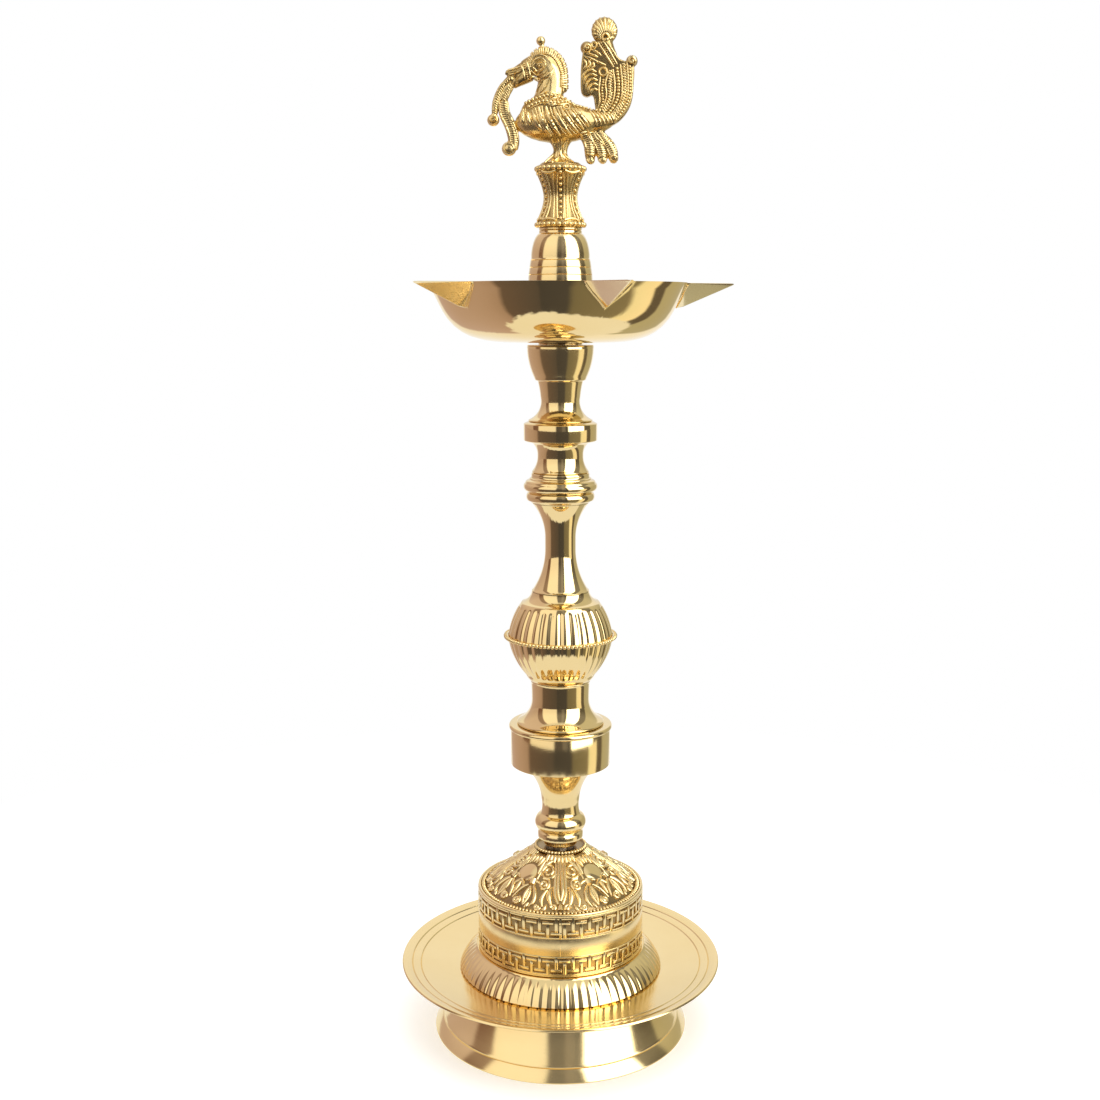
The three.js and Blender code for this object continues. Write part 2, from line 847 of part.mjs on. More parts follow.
function finialPedestal() {
  const top = pedestalLow + pedestalHeight;
  const rim = pedestalRimRadius - pedestalRimStep;
  const body = turned([
    [0, pedestalLow],
    [rim, pedestalLow],
    [pedestalRimRadius, pedestalLow + pedestalRimHeight / 2],
    [rim, pedestalLow + pedestalRimHeight],
    [pedestalWaistRadius, pedestalLow + pedestalWaistHeight, -pedestalLowCurve],
    [rim, top - pedestalTopHeight, -pedestalHighCurve],
    [pedestalRimRadius, top - pedestalTopHeight / 2],
    [rim, top],
    [0, top],
  ]);
  const studLow = finialWasherLow - seatGap - finialStudLength;
  return body.add(threadedRod(studLow, pedestalLow + boreRelief, finialStudRadius, [[studLow, pedestalLow]]));
}

// Peacock. Places are [x, z] beside the axis and above the pedestal's top, drawn for a bird 75 mm tall.
function drawn(places) {
  return places.map((place) => place.map((value) => value * birdUnit));
}

function blob(x, z, halfLength, halfHeight, halfDepth, tilt = 0, segments = 8) {
  const ball = new THREE.SphereGeometry(1, segments, Math.ceil(segments / 2) + 1);
  ball.scale(halfLength, halfDepth, halfHeight);
  ball.rotateY(THREE.MathUtils.degToRad(tilt));
  ball.translate(x, 0, birdLow + z);
  return toSolid(ball);
}

function drawnBlob(...sizes) {
  return blob(...sizes.map((size) => size * birdUnit));
}

// A tapering strand along a smooth path in the XZ plane: each station is [x, z, half width, half depth].
function strand(stations, steps, sides = 8) {
  const path = new THREE.CatmullRomCurve3(stations.map(([x, z]) => new THREE.Vector3(x, 0, birdLow + z)));
  const corners = [];
  for (let k = 0; k <= steps; k += 1) {
    const centre = path.getPoint(k / steps);
    const along = path.getTangent(k / steps);
    const sideways = new THREE.Vector3(-along.z, 0, along.x);
    const place = k / steps * (stations.length - 1);
    const before = Math.min(Math.floor(place), stations.length - 2);
    const halfWidth = THREE.MathUtils.lerp(stations[before][2], stations[before + 1][2], place - before);
    const halfDepth = THREE.MathUtils.lerp(stations[before][3], stations[before + 1][3], place - before);
    for (let i = 0; i < sides; i += 1) {
      const angle = 2 * Math.PI * i / sides;
      const point = centre.clone().addScaledVector(sideways, halfWidth * Math.cos(angle));
      corners.push(point.x, halfDepth * Math.sin(angle), point.z);
    }
  }
  return toSolid(loft(corners, steps + 1, sides));
}

function evenStrand(places, halfWidth, halfDepth, steps, sides = 6) {
  return strand(drawn(places).map(([x, z]) => [x, z, halfWidth, halfDepth]), steps, sides);
}

function slab(points, depth) {
  const geometry = new THREE.ExtrudeGeometry(new THREE.Shape(points), { depth, bevelEnabled: false });
  geometry.rotateX(Math.PI / 2);
  geometry.translate(0, depth / 2, birdLow);
  return toSolid(geometry);
}

// A flat plate in the XZ plane with a smooth outline through the places
function plate(places, depth) {
  const edge = new THREE.CatmullRomCurve3(drawn(places).map(([x, z]) => new THREE.Vector3(x, z, 0)), true);
  return slab(edge.getPoints(24).map((point) => new THREE.Vector2(point.x, point.y)), depth);
}

function disc(x, z, radius, depth) {
  const round = new THREE.CylinderGeometry(radius, radius, depth, 16);
  round.translate(x * birdUnit, 0, birdLow + z * birdUnit);
  return toSolid(round);
}

function join(solids) {
  return solids.reduce((whole, solid) => whole.add(solid));
}

function birdFoot() {
  const stalk = turned([
    [0, birdLow],
    [birdFootRadius, birdLow],
    [birdFootRadius - birdFootEdge, birdLow + birdFootEdge],
    [birdStalkRadius, birdLow + birdStalkHeight, -birdFootEdge / 2],
    [birdFootTopRadius, birdLow + birdFootHeight, -birdFootEdge / 2],
    [0, birdLow + birdFootHeight],
  ], 12, 3);
  return stalk.scale([1, birdFootFlatness, 1]).translate([birdFootX, 0, 0]);
}

function birdBody() {
  const halfSizes = [birdBodyLength / 2, birdBodyHeight / 2, birdBodyDepth / 2];
  const egg = blob(birdBodyX, birdBodyZ, ...halfSizes, birdBodyTilt, 14);
  const rump = strand(drawn([[8, 22.5, 8, 7], [18, 22, 6, 5], [25, 23, 4.5, 3.5], [29, 27, 3, 2.5]]), 5);
  return egg.add(rump);
}

function birdNeck() {
  return strand(drawn([
    [-8, 26, 9, 7.5],
    [-6, 33, 8, 5.8],
    [-4.6, 40, 7.5, 5],
    [-5.4, 47, 7, 5],
    [-9, 52.5, 6.5, 5.5],
    [-14, 52, 5.4, 4.9],
    [-18.5, 49, 4.8, 4],
  ]), 9);
}

function birdBeak() {
  const upper = strand(drawn([
    [-17, 49.6, 5, 3.8], [-22, 47.8, 3.6, 3], [-27, 47.4, 1.6, 1.8], [-29.2, 48.2, 0.8, 1],
  ]), 7);
  const lower = strand(drawn([[-17, 46, 4, 3.2], [-22, 43, 3.4, 2.6], [-25, 40.2, 2.2, 1.8]]), 5);
  return upper.add(lower);
}

function birdCrest() {
  const knob = drawnBlob(-10.3, 63.2, 2.4, 2.4, 2.2);
  const stem = evenStrand([[-9.2, 58], [-10, 61.5]], birdStemRadius, birdStemRadius, 2);
  return knob.add(stem);
}

// The serrated mane follows the crown and the back of the neck as a row of teeth.
function birdMane() {
  const ridge = new THREE.CatmullRomCurve3(drawn([
    [-16.5, 54], [-13, 58], [-8, 59.4], [-3, 58], [0.6, 54.5], [2.6, 49], [3, 43], [2.8, 38],
  ]).map(([x, z]) => new THREE.Vector3(x, 0, z)));
  const edge = [];
  for (let i = 0; i <= birdManeTeeth; i += 1) {
    const place = ridge.getPoint(i / birdManeTeeth);
    const along = ridge.getTangent(i / birdManeTeeth);
    const reach = i % 2 === 0 ? birdManeToothLow : birdManeToothHigh;
    edge.push(new THREE.Vector2(place.x - along.z * reach, place.z + along.x * reach));
  }
  edge.push(...drawn([[-6, 40], [-8, 50]]).map(([x, z]) => new THREE.Vector2(x, z)));
  return slab(edge, birdManeDepth);
}

function birdGarland() {
  const outer = evenStrand([
    [-25, 43.5], [-30.5, 39.5], [-33.4, 34], [-35, 28], [-35, 24.5],
  ], birdStrandRadius, birdStrandDepth, 6);
  const inner = evenStrand([
    [-24.5, 42], [-28, 37.5], [-29.5, 31.5], [-28.4, 25], [-24.8, 20], [-22, 14.5], [-23.4, 9.8],
  ], birdStrandRadius, birdStrandDepth, 7);
  const outerCurl = drawnBlob(-35.6, 23, 3.4, 3.2, 2.4);
  const innerCurl = drawnBlob(-27.2, 8.6, 3.9, 3.8, 2.6);
  const hook = evenStrand([[-22.4, 11.5], [-24.5, 8.4], [-27, 8]], birdStrandRadius, birdStrandDepth, 3);
  return join([outer, inner, outerCurl, innerCurl, hook]);
}

function birdNecklace() {
  return strand(drawn([
    [-20, 29.4, 2, 3], [-13, 33.4, 2.2, 6.6], [-5, 34.4, 2.4, 7.4], [2, 33.4, 2.4, 6.8], [7.4, 29.8, 2.2, 4],
  ]), 5, 6);
}

function birdLowerTail() {
  const roots = [[12, 17], [15.5, 17.5], [19, 18]];
  const ends = [[15.6, 3.4], [22.3, 3.4], [28.4, 4]];
  return join(roots.map(([x, z], i) => {
    const [endX, endZ] = ends[i];
    const middle = [(x + endX) / 2 + 1.2, (z + endZ) / 2 + 1, 2.2, 2.6];
    return strand(drawn([[x, z, 2.3, 3], middle, [endX, endZ + 1, 2.7, 2.8], [endX, endZ - 2, 2, 2.2]]), 5, 7);
  }));
}

function birdTail() {
  const fan = plate([
    [24, 19.6], [31.5, 23], [37, 31], [38.4, 42], [38, 51], [31, 55], [24, 62], [17, 62], [12.5, 56.4],
    [10.6, 46], [12, 35.4], [16.4, 34.6], [17.4, 28], [19, 23],
  ], birdTailDepth);
  const bands = [
    [[24, 21], [33, 28.5], [36.4, 40], [36.6, 50]],
    [[22.5, 23.5], [29, 31], [31.6, 42], [31, 52]],
    [[20.6, 26], [24.6, 33], [26, 41], [24, 48]],
  ];
  const ribs = bands.map((places) => evenStrand(places, birdBandRadius, birdBandDepth, 4));
  const crown = disc(23, 68.2, birdCrownRadius, birdTailDepth);
  const crownStem = evenStrand([[23.4, 64], [25, 60], [29, 53]], 2 * birdBandRadius, birdBandDepth, 3);
  const rightCurl = drawnBlob(37.6, 53, 3, 3, 4.1);
  const leftCurl = drawnBlob(13.8, 59.6, 3.4, 3.4, 4.1);
  return join([fan, ...ribs, crown, crownStem, rightCurl, leftCurl]);
}

function peacock() {
  return join([
    birdFoot(), birdBody(), birdNeck(), birdBeak(), birdCrest(), birdMane(), birdGarland(), birdNecklace(),
    birdLowerTail(), birdTail(),
  ]);
}

// The assembly

const lamp = new THREE.Group();

function addPiece(name, solid, material) {
  const mesh = new THREE.Mesh(toGeometry(solid), material);
  mesh.name = name;
  lamp.add(mesh);
}

function addBeadRing(name, radius, beadRadius, height) {
  addPiece(name, beadRing(radius, beadRadius, height), polishedBrass);
}

function addSeatWasher(name, low) {
  addPiece(name, washer(low, rodHole, washerRadius, washerThickness), castBrass);
}

addPiece("foot_cone", footCone(), polishedBrass);
addPiece("drip_plate", dripPlate(), polishedBrass);
addPiece("fluted_collar", flutedCollar(), polishedBrass);
addPiece("drum_band", drumBand(), polishedBrass);
addBeadRing("drum_bead_ring", beadRingRadius, drumBeadRadius, domeLow + drumBeadRadius);
addPiece("dome_cover", domeCover(), polishedBrass);
addPiece("tie_rod", tieRod(), steel);
addPiece("tie_rod_washer", washer(rodWasherLow, rodHole, 2 * washerRadius, washerThickness), steel);
addPiece("tie_rod_nut", hexNut(rodNutLow), steel);
addPiece("tie_rod_top_nut", hexNut(topNutLow), steel);
addSeatWasher("stem_washer", topNutLow + nutHeight + 2 * seatGap);
addPiece("lower_stem", lowerStem(), polishedBrass);
addPiece("ring_drum", ringDrum(), polishedBrass);
addPiece("ring_neck", ringNeck(), polishedBrass);
addPiece("ball_stud", stud(neckTop), steel);
addSeatWasher("ball_washer", ballLow + seatGap);
addPiece("ball_lower_shell", ballLowerShell(), polishedBrass);
addPiece("ball_upper_shell", ballUpperShell(), polishedBrass);
addBeadRing("ball_bead_ring", ballRadius + boreGap + ballBeadRadius, ballBeadRadius, ballSeam);
addPiece("middle_stem", middleStem(), polishedBrass);
addPiece("middle_stud", stud(middleTop), steel);
addSeatWasher("knop_washer", doubleLow + seatGap);
addPiece("double_ring", doubleRing(), polishedBrass);
addPiece("flat_ring", flatRing(), polishedBrass);
addPiece("bowl_cup", bowlCup(), polishedBrass);
addPiece("bowl_stud", stud(cupTop, bowlStudHigh), steel);
addPiece("bowl_washer", washer(bowlWasherLow, rodHole, bowlWasherRadius, washerThickness), polishedBrass);
addPiece("oil_bowl", oilBowl(), polishedBrass);
addSeatWasher("cap_washer", capLow + seatGap);
addPiece("dome_cap", domeCap(), polishedBrass);
addPiece("finial_washer", finialWasher(), polishedBrass);
addPiece("finial_pedestal", finialPedestal(), castBrass);
addPiece("peacock", peacock(), castBrass);

export default lamp;
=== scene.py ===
import math
import bpy
import bmesh
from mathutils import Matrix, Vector


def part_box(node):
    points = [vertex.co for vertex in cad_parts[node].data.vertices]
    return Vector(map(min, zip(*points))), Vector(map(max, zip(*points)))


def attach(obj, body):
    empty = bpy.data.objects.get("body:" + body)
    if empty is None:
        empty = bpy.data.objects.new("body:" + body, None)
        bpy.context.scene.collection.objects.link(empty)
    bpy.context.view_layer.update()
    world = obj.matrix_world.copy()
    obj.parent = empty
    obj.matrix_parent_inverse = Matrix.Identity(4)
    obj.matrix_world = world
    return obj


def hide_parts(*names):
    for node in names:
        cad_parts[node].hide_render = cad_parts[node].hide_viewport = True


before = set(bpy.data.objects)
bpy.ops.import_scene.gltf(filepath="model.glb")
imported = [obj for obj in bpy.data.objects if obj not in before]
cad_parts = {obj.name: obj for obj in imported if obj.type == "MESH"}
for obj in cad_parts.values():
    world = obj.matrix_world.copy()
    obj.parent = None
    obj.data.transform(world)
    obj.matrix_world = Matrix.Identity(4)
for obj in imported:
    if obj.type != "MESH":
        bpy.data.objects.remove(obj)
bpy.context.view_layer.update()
mm = 0.001
fullTurn = 2 * math.pi
print("frame loaded")

# the camera stands in front of the lamp, a little above its ball, and looks slightly down
cameraView = {"distance": 0.770, "height": 0.4085, "lookDown": 9.56, "lens": 46.09, "shiftX": -0.0095}


def addCamera(view):
    bpy.ops.object.camera_add(location=(0, -view["distance"], view["height"]),
                              rotation=(math.radians(90 - view["lookDown"]), 0, 0))
    camera = bpy.context.object
    camera.name = "photoCamera"
    camera.data.sensor_width = 36
    camera.data.lens = view["lens"]
    camera.data.shift_x = view["shiftX"]
    bpy.context.scene.camera = camera


addCamera(cameraView)


# selection and edit helpers

def clearSelection():
    if bpy.context.mode != "OBJECT":
        bpy.ops.object.mode_set(mode="OBJECT")
    bpy.ops.object.select_all(action="DESELECT")


def pickOnly(*pieces):
    clearSelection()
    for piece in pieces:
        piece.select_set(True)
    bpy.context.view_layer.objects.active = pieces[0]
    return pieces[0]


def bendCorners(corners, arcSteps=12):
    # [radius, height, bulge]: an arc that bulges out by that much, or in when negative, else a straight line
    points = []
    for corner in corners:
        here = Vector((corner[0], corner[1]))
        bulge = corner[2] if len(corner) > 2 else 0
        if points and abs(bulge) > 1e-6:
            chord = here - points[-1]
            half = chord.length / 2
            along = chord.normalized()
            outward = Vector((along.y, -along.x))
            radius = (half * half + bulge * bulge) / (2 * bulge)
            centre = (points[-1] + here) / 2 + outward * (bulge - radius)
            sweep = math.asin(min(1, half / abs(radius)))
            for step in range(1, arcSteps):
                angle = sweep * (2 * step / arcSteps - 1)
                aside = outward * radius * math.cos(angle)
                ahead = along * abs(radius) * math.sin(angle)
                points.append(centre + aside + ahead)
        points.append(here)
    return points


def throughPoints(places, pitch=0.8, closed=False):
    # a smooth line through the places, in even steps
    count = len(places)
    points = []
    spans = count if closed else count - 1
    for span in range(spans):
        around = []
        for offset in (-1, 0, 1, 2):
            index = span + offset
            index = index % count if closed else min(max(index, 0), count - 1)
            around.append(Vector(places[index]))
        before, start, end, after = around
        steps = max(2, int((end - start).length / pitch))
        for step in range(steps):
            share = step / steps
            points.append(0.5 * (2 * start + (end - before) * share
                                 + (2 * before - 5 * start + 4 * end - after) * share * share
                                 + (3 * start - before - 3 * end + after) * share * share * share))
    if not closed:
        points.append(Vector(places[-1]))
    return points


def traceOutline(name, points):
    # one vertex walked along the outline by extrusion, as by hand
    clearSelection()
    bpy.ops.mesh.primitive_plane_add(size=mm)
    piece = bpy.context.object
    piece.name = name
    piece.data.name = name
    bpy.ops.object.mode_set(mode="EDIT")
    bpy.ops.mesh.merge(type="CENTER")
    here = Vector((points[0][0], 0, points[0][1])) * mm
    bpy.ops.transform.translate(value=here)
    for point in points[1:]:
        there = Vector((point[0], 0, point[1])) * mm
        bpy.ops.mesh.extrude_region_move(TRANSFORM_OT_translate={"value": there - here})
        here = there
    return piece


def closeShell():
    bpy.ops.mesh.select_all(action="SELECT")
    bpy.ops.mesh.remove_doubles(threshold=0.004 * mm)
    bpy.ops.mesh.normals_make_consistent(inside=False)
    bpy.ops.object.mode_set(mode="OBJECT")


def softenEdges(piece, width, segments=2, limit=32):
    pickOnly(piece)
    bpy.ops.object.modifier_add(type="BEVEL")
    bevel = piece.modifiers[-1]
    bevel.width = width * mm
    bevel.segments = segments
    bevel.limit_method = "ANGLE"
    bevel.angle_limit = math.radians(limit)
    bevel.use_clamp_overlap = True
    bpy.ops.object.modifier_apply(modifier=bevel.name)
    bpy.ops.object.shade_smooth_by_angle(angle=math.radians(40))


def turnPiece(name, corners, steps=144, edge=0.18, arcSteps=12):
    # a closed outline spun round the lamp's axis
    points = bendCorners(corners, arcSteps)
    piece = traceOutline(name, points + [points[0]])
    bpy.ops.mesh.select_all(action="SELECT")
    bpy.ops.mesh.spin(steps=steps, angle=fullTurn, center=(0, 0, 0), axis=(0, 0, 1))
    closeShell()
    softenEdges(piece, edge)
    return piece


def repeatRound(piece, count):
    # what is modelled once is carried round the axis
    pickOnly(piece)
    bpy.ops.object.mode_set(mode="EDIT")
    bpy.ops.mesh.select_all(action="SELECT")
    bpy.ops.mesh.spin(steps=count - 1, dupli=True, angle=fullTurn * (count - 1) / count,
                      center=(0, 0, 0), axis=(0, 0, 1))
    bpy.ops.object.mode_set(mode="OBJECT")
    return piece


def joinPieces(name, pieces):
    pickOnly(*pieces)
    if len(pieces) > 1:
        bpy.ops.object.join()
    whole = bpy.context.object
    whole.name = name
    whole.data.name = name
    bpy.ops.object.transform_apply(location=True, rotation=True, scale=True)
    return whole


def lowOf(node):
    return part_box(node)[0].z / mm


def fluteOneStrip(piece, flutes, columns, depthAt):
    # the columns of one strip are scaled towards the axis, least in the middle, so the flute is rounded
    mesh = piece.data
    stripAngle = fullTurn / flutes
    rings = sorted({round(v.co.z, 6) for v in mesh.vertices})
    for ring in rings:
        depth = depthAt(ring / mm)
        if depth <= 0:
            continue
        for column in range(columns + 1):
            share = column / columns
            sink = depth * (1 - max(0.0, math.sin(math.pi * share)))
            if sink < 1e-4:
                continue
            clearSelection()
            bpy.context.view_layer.objects.active = piece
            bpy.ops.object.mode_set(mode="EDIT")
            bpy.ops.mesh.select_all(action="DESELECT")
            shape = bmesh.from_edit_mesh(mesh)
            radius = 0
            for vert in shape.verts:
                angle = abs(math.atan2(vert.co.y, vert.co.x))
                sameRing = abs(vert.co.z - ring) < 2e-6
                if sameRing and abs(angle - share * stripAngle) < stripAngle / columns / 4:
                    vert.select = True
                    radius = math.hypot(vert.co.x, vert.co.y) / mm
            shape.select_flush_mode()
            bmesh.update_edit_mesh(mesh)
            if radius > 0:
                factor = (radius - sink) / radius
                bpy.ops.transform.resize(value=(factor, factor, 1), center_override=(0, 0, 0))
    bpy.ops.object.mode_set(mode="OBJECT")


def flutedShell(name, corners, flutes, depthAt, arcSteps=14, columns=6):
    # one open strip of the outer wall, fluted, then carried round and closed
    points = bendCorners(corners, arcSteps)
    piece = traceOutline(name, points)
    bpy.ops.mesh.select_all(action="SELECT")
    bpy.ops.mesh.spin(steps=columns, angle=fullTurn / flutes, center=(0, 0, 0), axis=(0, 0, 1))
    bpy.ops.object.mode_set(mode="OBJECT")
    fluteOneStrip(piece, flutes, columns, depthAt)
    repeatRound(piece, flutes)
    return piece


def turnOpen(name, corners, steps, arcSteps=8):
    piece = traceOutline(name, bendCorners(corners, arcSteps))
    bpy.ops.mesh.select_all(action="SELECT")
    bpy.ops.mesh.spin(steps=steps, angle=fullTurn, center=(0, 0, 0), axis=(0, 0, 1))
    bpy.ops.object.mode_set(mode="OBJECT")
    return piece


def closeFluted(name, outer, inner):
    whole = joinPieces(name, [outer, inner])
    bpy.ops.object.mode_set(mode="EDIT")
    bpy.ops.mesh.select_all(action="SELECT")
    bpy.ops.mesh.remove_doubles(threshold=0.01 * mm)
    bpy.ops.mesh.normals_make_consistent(inside=False)
    bpy.ops.object.mode_set(mode="OBJECT")
    bpy.ops.object.shade_smooth_by_angle(angle=math.radians(50))
    return whole


def makeBeads(name, places, segments=8, rings=6):
    # one small ball, copied to each [centre, radius], then joined
    clearSelection()
    bpy.ops.mesh.primitive_uv_sphere_add(segments=segments, ring_count=rings, radius=1)
    bpy.ops.object.shade_smooth()
    first = bpy.context.object
    copies = []
    for centre, radius in places:
        copy = first.copy()
        copy.data = first.data.copy()
        bpy.context.collection.objects.link(copy)
        copy.location = Vector(centre) * mm
        copy.scale = (radius * mm,) * 3
        copies.append(copy)
    bpy.data.objects.remove(first)
    return joinPieces(name, copies)


def addBar(centre, size, turn):
    bpy.ops.mesh.primitive_cube_add(size=1, location=Vector(centre) * mm, rotation=(0, 0, turn))
    bar = bpy.context.object
    bar.scale = Vector(size) * mm
    return bar


def makeStrokes(name, strokes, around=2, along=5):
    # round ribs of changing thickness, drawn as curves through [place, radius] and made one mesh
    clearSelection()
    lines = bpy.data.curves.new(name, "CURVE")
    lines.dimensions = "3D"
    lines.bevel_depth = mm
    lines.bevel_resolution = around
    lines.resolution_u = along
    lines.use_fill_caps = True
    for stroke in strokes:
        spline = lines.splines.new("NURBS")
        spline.points.add(len(stroke) - 1)
        for point, (place, radius) in zip(spline.points, stroke):
            point.co = (*(Vector(place) * mm), 1)
            point.radius = radius
        spline.order_u = min(3, len(stroke))
        spline.use_endpoint_u = True
    piece = bpy.data.objects.new(name, lines)
    bpy.context.collection.objects.link(piece)
    pickOnly(piece)
    bpy.ops.object.convert(target="MESH")
    bpy.ops.object.shade_smooth_by_angle(angle=math.radians(60))
    return bpy.context.object


def makeRing(name, node, outer, inner, edge=0.25):
    # a plain washer as high as its node
    low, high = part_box(node)[0].z / mm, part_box(node)[1].z / mm
    return turnPiece(name, [
        [outer - 0.1, low], [outer, (low + high) / 2, 0.15], [outer - 0.1, high, 0.15], [inner, high],
        [inner, low],
    ], steps=96, edge=edge, arcSteps=5)


def dress(piece, material, body, slot, *nodes):
    piece.data.materials.clear()
    piece.data.materials.append(material)
    if nodes:
        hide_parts(*nodes)
    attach(piece, body)
    return piece


# materials

def newGroup(name, inputs, outputs):
    group = bpy.data.node_groups.new(name, "ShaderNodeTree")
    for label, kind, value in inputs:
        socket = group.interface.new_socket(label, in_out="INPUT", socket_type=kind)
        socket.default_value = value
    for label, kind in outputs:
        group.interface.new_socket(label, in_out="OUTPUT", socket_type=kind)
    start = group.nodes.new("NodeGroupInput")
    end = group.nodes.new("NodeGroupOutput")
    return group, start, end


def addNode(tree, kind, **values):
    node = tree.nodes.new(kind)
    for key, value in values.items():
        if key.startswith("in_"):
            label = key[3:].replace("_", " ")
            node.inputs[int(label) if label.isdigit() else label].default_value = value
        else:
            setattr(node, key, value)
    return node


def mathNode(tree, operation, first, second=None):
    node = tree.nodes.new("ShaderNodeMath")
    node.operation = operation
    for index, source in enumerate((first, second)):
        if source is None:
            continue
        if isinstance(source, (int, float)):
            node.inputs[index].default_value = source
        else:
            tree.links.new(source, node.inputs[index])
    return node.outputs[0]


def buildBrassSurface():
    # colour drift, hand smudges, small pits and the fine lines that turning leaves round the axis
    group, start, end = newGroup("brassSurface", [
        ("Light Brass", "NodeSocketColor", (0.94, 0.75, 0.40, 1)),
        ("Deep Brass", "NodeSocketColor", (0.85, 0.62, 0.27, 1)),
        ("Smooth", "NodeSocketFloat", 0.07),
        ("Smudge", "NodeSocketFloat", 0.10),
        ("Turning Lines", "NodeSocketFloat", 0.3),
        ("Coarse Lines", "NodeSocketFloat", 0.0),
        ("Pits", "NodeSocketFloat", 0.3),
    ], [("Color", "NodeSocketColor"), ("Roughness", "NodeSocketFloat"), ("Height", "NodeSocketFloat")])
    links = group.links
    place = addNode(group, "ShaderNodeTexCoord")
    parts = addNode(group, "ShaderNodeSeparateXYZ")
    links.new(place.outputs["Object"], parts.inputs[0])
    squares = [mathNode(group, "POWER", parts.outputs[axis], 2) for axis in ("X", "Y")]
    across = mathNode(group, "SQRT", mathNode(group, "ADD", *squares))
    along = mathNode(group, "ADD", mathNode(group, "MULTIPLY", across, 0.8), parts.outputs["Z"])
    drift = addNode(group, "ShaderNodeTexNoise", in_Scale=26.0, in_Detail=4.0, in_Roughness=0.6)
    links.new(place.outputs["Object"], drift.inputs["Vector"])
    smudges = addNode(
        group, "ShaderNodeTexNoise", in_Scale=95.0, in_Detail=6.0, in_Roughness=0.65, in_Distortion=0.6
    )
    links.new(place.outputs["Object"], smudges.inputs["Vector"])
    lineNoise = addNode(group, "ShaderNodeTexNoise", noise_dimensions="1D", in_Scale=2600.0, in_Detail=3.0)
    links.new(along, lineNoise.inputs["W"])
    coarseNoise = addNode(group, "ShaderNodeTexNoise", noise_dimensions="1D", in_Scale=620.0, in_Detail=1.0)
    links.new(along, coarseNoise.inputs["W"])
    pitSpots = addNode(group, "ShaderNodeTexVoronoi", in_Scale=420.0, in_Randomness=1.0)
    links.new(place.outputs["Object"], pitSpots.inputs["Vector"])
    pitMask = mathNode(group, "MULTIPLY", mathNode(group, "LESS_THAN", pitSpots.outputs["Distance"], 0.13),
                       mathNode(group, "GREATER_THAN", smudges.outputs["Fac"], 0.56))
    tone = addNode(group, "ShaderNodeMix", data_type="RGBA")
    toneShare = mathNode(group, "ADD", mathNode(group, "MULTIPLY", drift.outputs["Fac"], 0.7),
                         mathNode(group, "MULTIPLY", pitMask, start.outputs["Pits"]))
    links.new(toneShare, tone.inputs["Factor"])
    links.new(start.outputs["Light Brass"], tone.inputs["A"])
    links.new(start.outputs["Deep Brass"], tone.inputs["B"])
    links.new(tone.outputs["Result"], end.inputs["Color"])
    spread = mathNode(group, "MULTIPLY", smudges.outputs["Fac"], smudges.outputs["Fac"])
    haze = mathNode(group, "MULTIPLY", spread, start.outputs["Smudge"])
    lineRough = mathNode(group, "MULTIPLY", mathNode(group, "MULTIPLY", lineNoise.outputs["Fac"], 0.06),
                         start.outputs["Turning Lines"])
    links.new(mathNode(group, "ADD", mathNode(group, "ADD", start.outputs["Smooth"], haze), lineRough),
              end.inputs["Roughness"])
    fineLines = mathNode(group, "MULTIPLY", lineNoise.outputs["Fac"], start.outputs["Turning Lines"])
    coarseLines = mathNode(group, "MULTIPLY", coarseNoise.outputs["Fac"], start.outputs["Coarse Lines"])
    lines = mathNode(group, "ADD", fineLines, coarseLines)
    dents = mathNode(group, "MULTIPLY", mathNode(group, "MULTIPLY", pitMask, start.outputs["Pits"]), -1.5)
    waves = mathNode(group, "MULTIPLY", drift.outputs["Fac"], 6.0)
    links.new(mathNode(group, "ADD", mathNode(group, "ADD", lines, dents), waves), end.inputs["Height"])
    return group


def buildCastSurface():
    # grainy cast skin with brown patches
    group, start, end = newGroup("castSurface", [
        ("Bright Brass", "NodeSocketColor", (0.93, 0.72, 0.34, 1)),
        ("Dark Brass", "NodeSocketColor", (0.34, 0.21, 0.08, 1)),
        ("Grain", "NodeSocketFloat", 1.0),
        ("Patina", "NodeSocketFloat", 0.5),
    ], [("Color", "NodeSocketColor"), ("Roughness", "NodeSocketFloat"), ("Height", "NodeSocketFloat")])
    links = group.links
    place = addNode(group, "ShaderNodeTexCoord")
    grain = addNode(group, "ShaderNodeTexNoise", in_Scale=1500.0, in_Detail=3.0, in_Roughness=0.6)
    links.new(place.outputs["Object"], grain.inputs["Vector"])
    patches = addNode(group, "ShaderNodeTexNoise", in_Scale=260.0, in_Detail=5.0, in_Roughness=0.7)
    links.new(place.outputs["Object"], patches.inputs["Vector"])
    patchMask = mathNode(group, "MULTIPLY", mathNode(group, "SUBTRACT", patches.outputs["Fac"], 0.32), 2.2)
    share = mathNode(group, "MULTIPLY", patchMask, start.outputs["Patina"])
    share = mathNode(group, "MINIMUM", mathNode(group, "MAXIMUM", share, 0.0), 1.0)
    tone = addNode(group, "ShaderNodeMix", data_type="RGBA")
    links.new(share, tone.inputs["Factor"])
    links.new(start.outputs["Bright Brass"], tone.inputs["A"])
    links.new(start.outputs["Dark Brass"], tone.inputs["B"])
    links.new(tone.outputs["Result"], end.inputs["Color"])
    rough = mathNode(group, "ADD", mathNode(group, "MULTIPLY", patches.outputs["Fac"], 0.22), 0.17)
    links.new(rough, end.inputs["Roughness"])
    links.new(mathNode(group, "MULTIPLY", grain.outputs["Fac"], start.outputs["Grain"]), end.inputs["Height"])
    return group


